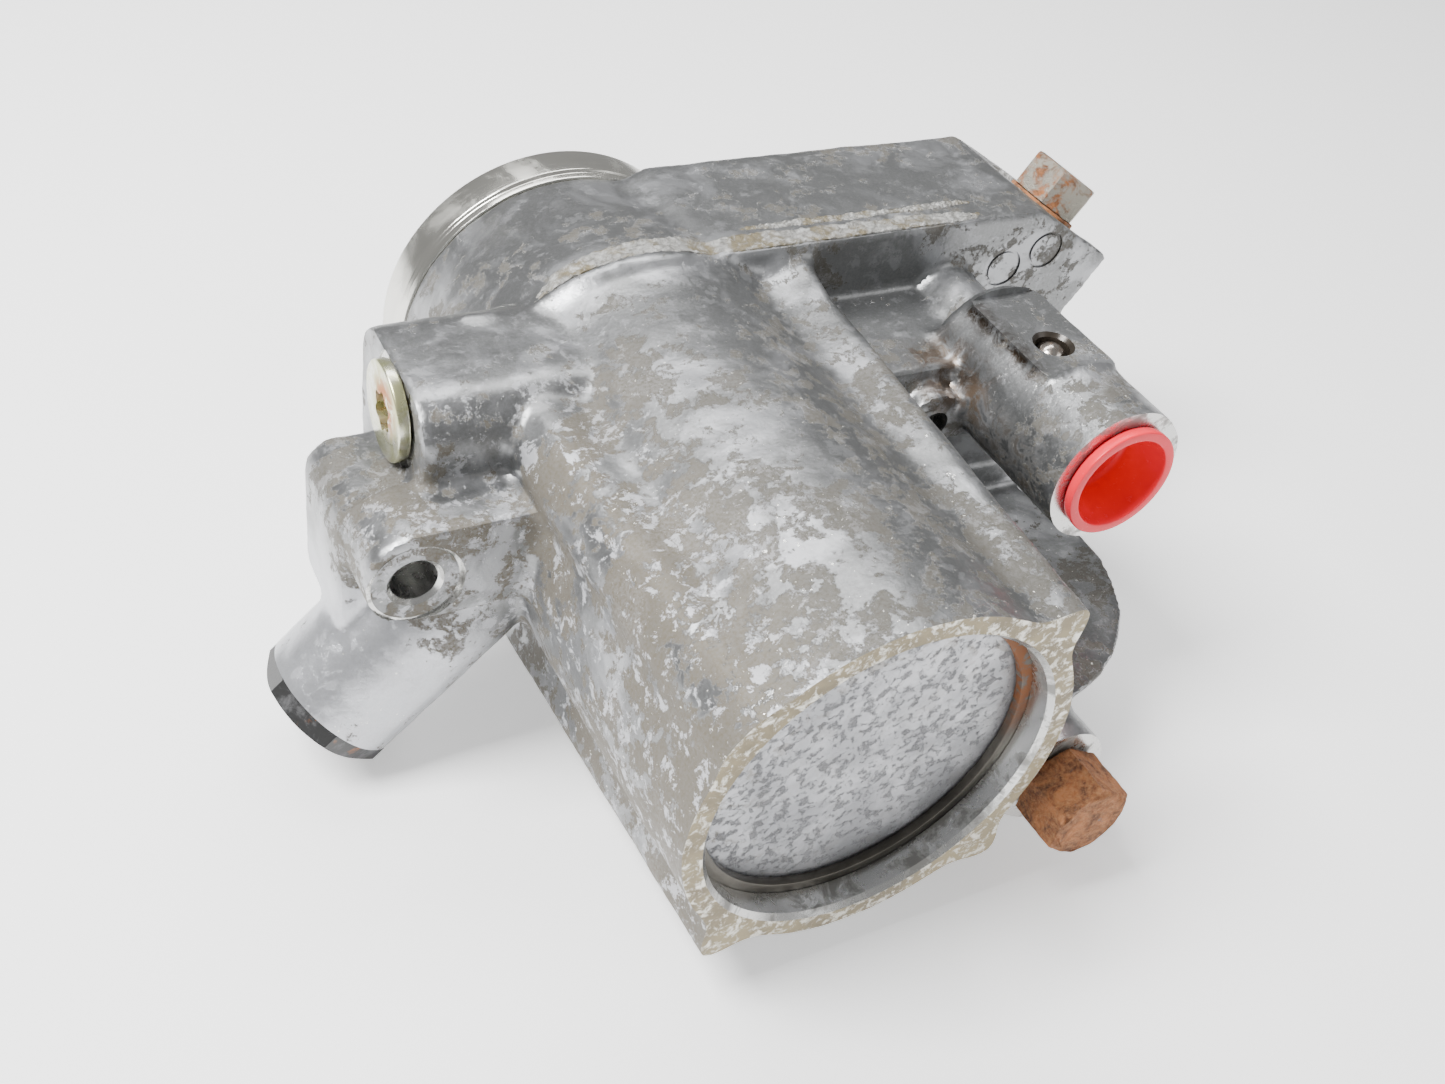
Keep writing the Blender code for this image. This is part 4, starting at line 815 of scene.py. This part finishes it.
def make_flash():
    """The torn ribbons of parting flash along the shoulder and the arm."""
    bpy.context.view_layer.update()
    tree = BVHTree.FromObject(bpy.data.objects["casting"], bpy.context.evaluated_depsgraph_get())
    lift = sizes().flash_height / MM
    main = flash_ribbon(tree, FLASH_PATH, 4.0, lift, 0)
    thin = flash_ribbon(tree, THIN_FLASH_PATH, 1.4, lift * 0.8, 9)
    shown(laid_out("parting_flash", gathered(main, thin), flash_finish()), "housing", CAST, angle=60)


def make_rear_closure():
    """The pitted end disc and the internal snap ring."""
    disc = softened(lathe([(0, 0), (41.7, 0), (41.7, 4.3), (38.8, 4.3), (38.8, 8.2), (41.7, 8.2),
                           (41.7, 12.5), (11.7, 12.5), (11.7, 4.9), (0, 4.9)], (0, 9.8, 0), Y_AXIS, 180),
                    sizes().edge_wear / MM)
    bmesh.ops.subdivide_edges(disc, edges=[edge for edge in disc.edges if edge.calc_length() > 20],
                              cuts=16)
    for vert in disc.verts:
        if vert.co.y < 10.2 and math.hypot(vert.co.x, vert.co.z) < 40:
            vert.co.y += 0.12 * noise.fractal(vert.co / 5, 0.7, 2.1, 4)
    shown(laid_out("end_disc", disc, disc_finish()), "housing", "plug_aluminium", "rear_end_plug")
    ring = softened(lathe([(39.3, 0), (43.3, 0), (43.3, 2.4), (39.3, 2.4)], (0, 7.1, 0), Y_AXIS, 180),
                    0.35, 2)
    blued = ring_finish()
    ring = laid_out("snap_ring", ring, blued)
    cut_out(ring, [laid_out("snap_ring_gap", block((-5.6, 5, 30), (5.6, 11, 50)), blued)])
    shown(ring, "housing", "dark_steel", "plug_snap_ring")


def ring_finish():
    """Dark spring steel, rusted where water stood at one side."""
    tint = colours()
    look = Finish("snap_ring_steel", (0.075, 0.07, 0.062), 0.38, 0.8)
    rust = look.times(look.near(world((38, 8, 17)), 0.010, 0.027),
                      look.patches((0.004, 8, 0.7, 0.5), 0.40, 0.52))
    film = look.noise(0.006, 6, 0.65, 0.3)
    skin = look.layer((0.06, 0.055, 0.048), (0.15, 0.14, 0.12), film)
    skin = look.layer(skin, (0.20, 0.075, 0.028), rust)
    return look.done(skin, look.blend(0.36, 0.85, rust), look.blend(0.85, 0.1, rust),
                     look.relief(look.noise(0.0012, 5, 0.7), 0.0001, 0.5))


def make_cap():
    """The moulded cap: a rolled rim, a tapered cup and a small gate mark on its floor."""
    wear = sizes().edge_wear / MM
    cup = lathe([(0, 11), (11.6, 11), (12.6, 10), (12.9, -3.3), (15.6, -3.3), (15.6, -0.9), (15.1, -0.3),
                 (14.2, -0.3), (14.2, 14), (0, 14)], PORT, Y_AXIS, 144)
    softened(cup, wear * 1.4, 4)
    gate = softened(rod(1.6, PORT + Vector((0, 9.9, 0)), 1.3, segments=48), 0.3, 2)
    shown(laid_out("protective_cap", gathered(cup, gate), cap_finish()), "cap", "red_plastic", "port_cap")


def make_boss_bolt():
    """The rusty hexagon bolt with its washer face."""
    seat = BOLT_BOSS - Y_AXIS * 0.3
    head = hexagon(20, seat - Y_AXIS * 0.7, 14.6, -Y_AXIS, 0.8)
    face = softened(rod(9.4, seat, 1.2, -Y_AXIS, 96), 0.2, 2)
    shank = rod(6, seat, 32, segments=48)
    for vert in head.verts:
        vert.co += vert.normal * 0.22 * noise.fractal(vert.co / 4, 0.8, 2.1, 3)
    steel = rusty_finish("bolt_rust", (0.16, 0.12, 0.10), 0.95, 0.6)
    shown(laid_out("hexagon_bolt", gathered(head, face, shank), steel), "housing", "rusty_steel",
          "boss_bolt", angle=24)


def make_left_plug():
    """The flat yellow-zinc plug with a six-lobed key socket."""
    plug = lathe([(0, 0), (12, 0), (12, 3), (8, 3), (8, 15), (0, 15)],
                 LEFT_PLUG - X_AXIS * 3.3, X_AXIS, 144)
    softened(plug, 0.6, 3)
    zinc = plug_zinc()
    plug = laid_out("left_plug_head", plug, zinc)
    key = bmesh.new()
    bmesh.ops.create_circle(key, cap_ends=True, radius=4.6, segments=96)
    for vert in key.verts:
        lobe = 1 + 0.13 * math.cos(6 * math.atan2(vert.co.y, vert.co.x))
        vert.co.x, vert.co.y = vert.co.x * lobe, vert.co.y * lobe
    pushed(key, key.faces[:], (0, 0, 7))
    bmesh.ops.recalc_face_normals(key, faces=key.faces)
    bmesh.ops.transform(key, matrix=aimed(LEFT_PLUG - X_AXIS * 5.0, X_AXIS), verts=key.verts)
    cut_out(plug, [laid_out("left_plug_key", key, zinc)])
    shown(plug, "housing", "zinc_plate", "left_plug")


def plug_zinc():
    """Yellow zinc with a rust patch across the middle."""
    tint = colours()
    look = Finish("left_plug_zinc", tint.zinc, 0.3, 0.9)
    haze = look.patches((0.006, 6, 0.6, 0.4), 0.42, 0.62)
    patch = look.times(look.near(world((-73, 113, 34)), 0.003, 0.0095),
                       look.patches((0.004, 8, 0.7, 0.6), 0.40, 0.52))
    skin = look.layer(tint.zinc, (0.72, 0.71, 0.62), haze)
    skin = look.layer(skin, tint.rust, patch)
    return look.done(skin, look.blend(0.26, 0.8, patch), look.blend(0.9, 0.1, patch),
                     look.relief(look.noise(0.0012, 5, 0.7), 0.00008, 0.5))


def make_slant_plug():
    """The black hexagon plug in the slanted boss."""
    turn = math.radians(19)
    head = hexagon(32, SLANT_END + SLANT_OUT * 0.3, 5.5, SLANT_OUT, 0.9, turn)
    shank = lathe([(0, -2), (12.7, -2), (12.7, 3), (10.3, 3), (10.3, 6), (12.7, 6), (12.7, 16), (0, 16)],
                  SLANT_END, -SLANT_OUT, 96)
    shown(laid_out("black_plug", gathered(head, shank), black_finish()), "housing", "black_steel",
          "slant_plug", angle=24)


def black_finish():
    """Black oxide, worn grey in places, with rust in the seam."""
    tint = colours()
    look = Finish("black_oxide", tint.black, 0.45, 0.7)
    worn = look.patches((0.004, 8, 0.7, 0.4), 0.52, 0.66)
    seam = look.times(look.patches((0.005, 7, 0.65, 0.4), 0.56, 0.64),
                      look.near(world(SLANT_END + Vector((3, -12, 6))), 0.004, 0.018))
    skin = look.layer(tint.black, (0.16, 0.16, 0.165), look.scaled(worn, 0, 0.75))
    skin = look.layer(skin, tint.rust, seam)
    return look.done(skin, look.blend(0.36, 0.62, worn), None,
                     look.relief(look.noise(0.001, 4, 0.6), 0.00008, 0.5))


def make_top_plug():
    """The hexagon plug on the arm's end, with its rusted washer."""
    steel = rusty_finish("top_plug_steel", (0.36, 0.34, 0.29), 0.36, 0.3)
    head = hexagon(20, TOP_SEAT + TOP_SEAT_OUT * 2.7, 11, TOP_SEAT_OUT, 0.9, math.radians(8))
    shank = rod(8, TOP_SEAT + TOP_SEAT_OUT * 4.8, 17.8, -TOP_SEAT_OUT, 64)
    shown(laid_out("arm_plug", gathered(head, shank), steel), "housing", "zinc_plate", "top_plug", angle=24)
    washer = softened(lathe([(8.3, 0), (11.2, 0), (11.2, 2.1), (8.3, 2.1)], TOP_SEAT + TOP_SEAT_OUT * 0.3,
                            TOP_SEAT_OUT, 96), 0.3, 2)
    shown(laid_out("arm_plug_washer", washer, rusty_finish("washer_rust", (0.20, 0.14, 0.10), 0.85, 0.7)),
          "housing", "rusty_steel", "top_plug_washer")


def make_pad_ball():
    """The ball pressed into the pad, a little brown."""
    look = Finish("sealing_ball_steel", (0.40, 0.34, 0.29), 0.18, 1.0)
    film = look.patches((0.003, 6, 0.6, 0.4), 0.45, 0.62)
    steel = look.done(look.layer((0.52, 0.48, 0.44), (0.17, 0.10, 0.06), look.scaled(film, 0, 0.8)),
                      look.blend(0.14, 0.42, film))
    low, high = packed("pad_ball")
    form = bmesh.new()
    bmesh.ops.create_uvsphere(form, u_segments=64, v_segments=32, radius=4.3)
    bmesh.ops.translate(form, vec=(low + high) / 2, verts=form.verts)
    shown(laid_out("pad_sealing_ball", form, steel), "housing", "ground_steel", "pad_ball")


def make_front_cover():
    """The turned cover with its pilot, seal recess and sunk screws."""
    face = 194.3
    cover = lathe([(14, 168.3), (37, 168.3), (37, 180.3), (46.6, 180.3), (46.6, 182.6), (47.4, 183.2),
                   (47.4, 193.2), (46.3, face), (33, face), (32, face - 0.8), (24, face - 0.8),
                   (23, face), (18.3, face), (18.3, 192.0), (19.4, 192.0), (19.4, 189.4), (18.3, 189.4),
                   (18.3, 182.0), (14, 182.0)], (0, 0, 0), Y_AXIS, 192)
    softened(cover, 0.25, 2, 50)
    bright = turned_finish("turned_cover", (0.80, 0.79, 0.73), rough=0.17, dirt=0.16)
    cover = laid_out("pilot_cover", cover, bright)
    cutters = []
    for x, z in screw_places():
        form = lathe([(0, 175), (2.5, 175), (2.5, 189.5), (4.2, 189.5), (4.2, 196), (0, 196)],
                     (x, 0, z), Y_AXIS, 48)
        cutters.append(laid_out("cover_cut", form, bright))
    cut_out(cover, cutters)
    shown(cover, "housing", "machined_aluminium", "front_cover")
    black = black_finish()
    for number in range(1, 5):
        low, high = packed(f"cover_screw_{number}")
        top = high.y
        screw = lathe([(0, top - 2.3), (2.0, top - 2.3), (2.0, top - 0.2), (2.2, top), (3.6, top),
                       (3.9, top - 0.4), (3.9, top - 4.5), (2.2, top - 4.5), (2.2, top - 18),
                       (0, top - 18)][::-1], ((low.x + high.x) / 2, 0, (low.z + high.z) / 2), Y_AXIS, 48)
        shown(laid_out(f"cover_socket_screw_{number}", screw, black), "housing", "dark_steel",
              f"cover_screw_{number}")


def make_shaft():
    """The ground shaft with its keyway, chamfers and centre hole, and the key with softened edges."""
    ground = turned_finish("ground_shaft", (0.60, 0.60, 0.60), rough=0.2, dirt=0.4)
    rear, front = (corner.y for corner in packed("drive_shaft"))
    shaft = lathe([(0, rear), (9, rear), (9, 27.9), (12, 27.9), (12, 130), (14, 130), (14, 146), (12, 146),
                   (12, 194.3), (11, 194.6), (11, front - 1.2), (9.8, front), (2.6, front),
                   (0, front - 4)], (0, 0, 0), Y_AXIS, 96)
    shaft = laid_out("pump_shaft", shaft, ground)
    key_low, key_high = packed("shaft_key")
    room = Vector((0.25, 0.3, 0.3))
    slot = block(key_low - room, key_high + room + Vector((0, 0, 2)))
    cut_out(shaft, [laid_out("keyway", slot, ground)])
    shown(shaft, "rotor", "ground_steel", "drive_shaft")
    key = softened(block(key_low, key_high), 0.35, 2)
    shown(laid_out("parallel_key", key, plain_metal("key_steel", (0.42, 0.42, 0.43), 0.34)), "rotor",
          "ground_steel", "shaft_key")


def dress_inner_parts():
    """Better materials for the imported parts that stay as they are."""
    tint = colours()
    by_slot = {
        "ground_steel": plain_metal("ground_steel_skin", tint.steel, 0.24),
        "bronze": plain_metal("bronze_skin", tint.bronze, 0.32),
        "spring_steel": plain_metal("spring_steel_skin", (0.30, 0.30, 0.31), 0.34, 0.002),
        "dark_steel": plain_metal("dark_steel_skin", (0.14, 0.135, 0.13), 0.4),
        "seal_rubber": rubber_finish(),
    }
    slots = {entry["node"]: entry["material_slot"] for entry in frame["record"]["subparts"]}
    for name, part in frame["nodes"].items():
        finish = by_slot.get(slots[name])
        if finish:
            part.data.materials.clear()
            part.data.materials.append(finish)


# Stage

def light(name, place, aim, size, power, tint=(1, 1, 1)):
    lamp = bpy.data.lights.new(name, "AREA")
    lamp.shape = "RECTANGLE"
    lamp.size, lamp.size_y = size
    lamp.energy = power
    lamp.color = tint
    made = bpy.data.objects.new(name, lamp)
    made.location = place
    made.rotation_euler = (Vector(aim) - Vector(place)).to_track_quat("-Z", "Y").to_euler()
    bpy.context.scene.collection.objects.link(made)


def make_stage():
    """Pale floor, soft lights and the camera."""
    look = Finish("studio_floor", colours().floor, 0.9, Emission_Color=(1, 1, 1, 1), Emission_Strength=0.6)
    tone = look.noise(0.4, 2, 0.5)
    look.done(look.layer(colours().floor, (0.95, 0.95, 0.95), tone))
    form = bmesh.new()
    bmesh.ops.create_grid(form, x_segments=2, y_segments=2, size=3)
    mesh = bpy.data.meshes.new("studio_floor")
    form.to_mesh(mesh)
    form.free()
    mesh.materials.append(look.material)
    floor = bpy.data.objects.new("studio_floor", mesh)
    bpy.context.scene.collection.objects.link(floor)
    world_light = bpy.data.worlds.new("studio_air")
    world_light.use_nodes = True
    air = world_light.node_tree.nodes["Background"]
    air.inputs["Color"].default_value = (1, 1, 1, 1)
    air.inputs["Strength"].default_value = 0.36
    bpy.context.scene.world = world_light
    light("key_light", (-0.55, 0.05, 0.85), (0, 0, 0.04), (0.35, 0.45), 23)
    light("top_strip", (0.05, 0.45, 0.9), (0, 0, 0.05), (0.9, 0.25), 7)
    light("fill_light", (0.7, -0.6, 0.6), (0, 0, 0.05), (0.6, 0.6), 2)
    camera = bpy.data.cameras.new("studio_camera")
    camera.lens = 38.62
    camera.sensor_width = 36
    camera.clip_start = 0.01
    made = bpy.data.objects.new("studio_camera", camera)
    made.location = world((-161.3, -159.1, 246.7))
    made.rotation_euler = [math.radians(angle) for angle in (49.162, -8.353, -27.107)]
    bpy.context.scene.collection.objects.link(made)
    bpy.context.scene.camera = made


class PUMP_OT_casting(bpy.types.Operator):
    """Build the die-cast housing with its machined faces"""
    bl_idname = "pump.casting"
    bl_label = "Casting"

    def execute(self, context):
        make_casting()
        return {"FINISHED"}


class PUMP_OT_parting_flash(bpy.types.Operator):
    """Build the torn flash along the shoulder and the arm"""
    bl_idname = "pump.parting_flash"
    bl_label = "Parting flash"

    def execute(self, context):
        make_flash()
        return {"FINISHED"}


class PUMP_OT_rear_closure(bpy.types.Operator):
    """Build the end disc and its snap ring"""
    bl_idname = "pump.rear_closure"
    bl_label = "Rear closure"

    def execute(self, context):
        make_rear_closure()
        return {"FINISHED"}


class PUMP_OT_port_cap(bpy.types.Operator):
    """Build the red protective cap"""
    bl_idname = "pump.port_cap"
    bl_label = "Port cap"

    def execute(self, context):
        make_cap()
        return {"FINISHED"}


class PUMP_OT_boss_bolt(bpy.types.Operator):
    """Build the rusty hexagon bolt"""
    bl_idname = "pump.boss_bolt"
    bl_label = "Boss bolt"

    def execute(self, context):
        make_boss_bolt()
        return {"FINISHED"}


class PUMP_OT_left_plug(bpy.types.Operator):
    """Build the zinc-plated key plug"""
    bl_idname = "pump.left_plug"
    bl_label = "Left plug"

    def execute(self, context):
        make_left_plug()
        return {"FINISHED"}


class PUMP_OT_slant_plug(bpy.types.Operator):
    """Build the black hexagon plug"""
    bl_idname = "pump.slant_plug"
    bl_label = "Slanted plug"

    def execute(self, context):
        make_slant_plug()
        return {"FINISHED"}


class PUMP_OT_arm_plug(bpy.types.Operator):
    """Build the hexagon plug and washer on the arm"""
    bl_idname = "pump.arm_plug"
    bl_label = "Arm plug"

    def execute(self, context):
        make_top_plug()
        return {"FINISHED"}


class PUMP_OT_pad_ball(bpy.types.Operator):
    """Build the ball pressed into the pad"""
    bl_idname = "pump.pad_ball"
    bl_label = "Pad ball"

    def execute(self, context):
        make_pad_ball()
        return {"FINISHED"}


class PUMP_OT_front_cover(bpy.types.Operator):
    """Build the turned cover and its screws"""
    bl_idname = "pump.front_cover"
    bl_label = "Front cover"

    def execute(self, context):
        make_front_cover()
        return {"FINISHED"}


class PUMP_OT_shaft(bpy.types.Operator):
    """Build the drive shaft and its key"""
    bl_idname = "pump.shaft"
    bl_label = "Shaft"

    def execute(self, context):
        make_shaft()
        return {"FINISHED"}


class PUMP_OT_inner_parts(bpy.types.Operator):
    """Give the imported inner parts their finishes"""
    bl_idname = "pump.inner_parts"
    bl_label = "Inner parts"

    def execute(self, context):
        dress_inner_parts()
        return {"FINISHED"}


class PUMP_OT_stage(bpy.types.Operator):
    """Build the floor, lights and camera"""
    bl_idname = "pump.stage"
    bl_label = "Stage"

    def execute(self, context):
        make_stage()
        return {"FINISHED"}


PIECES = (PUMP_OT_casting, PUMP_OT_parting_flash, PUMP_OT_rear_closure, PUMP_OT_port_cap,
          PUMP_OT_boss_bolt, PUMP_OT_left_plug, PUMP_OT_slant_plug, PUMP_OT_arm_plug, PUMP_OT_pad_ball,
          PUMP_OT_front_cover, PUMP_OT_shaft, PUMP_OT_inner_parts, PUMP_OT_stage)


class PUMP_PT_panel(bpy.types.Panel):
    """The pump's sizes, colours and pieces"""
    bl_label = "Axial Piston Pump"
    bl_space_type = "VIEW_3D"
    bl_region_type = "UI"
    bl_category = "Pump"

    def draw(self, context):
        for group in (context.scene.pump_sizes, context.scene.pump_colours):
            column = self.layout.column()
            for name in type(group).__annotations__:
                column.prop(group, name)
        for piece in PIECES:
            self.layout.operator(piece.bl_idname)


CLASSES = (PumpSizes, PumpColours, *PIECES, PUMP_PT_panel)


def register():
    for item in CLASSES:
        bpy.utils.register_class(item)
    bpy.types.Scene.pump_sizes = PointerProperty(type=PumpSizes)
    bpy.types.Scene.pump_colours = PointerProperty(type=PumpColours)


def unregister():
    del bpy.types.Scene.pump_colours
    del bpy.types.Scene.pump_sizes
    for item in reversed(CLASSES):
        bpy.utils.unregister_class(item)


def main():
    register()
    for piece in PIECES:
        group, name = piece.bl_idname.split(".")
        getattr(getattr(bpy.ops, group), name)()
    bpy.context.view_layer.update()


if __name__ == "__main__":
    main()
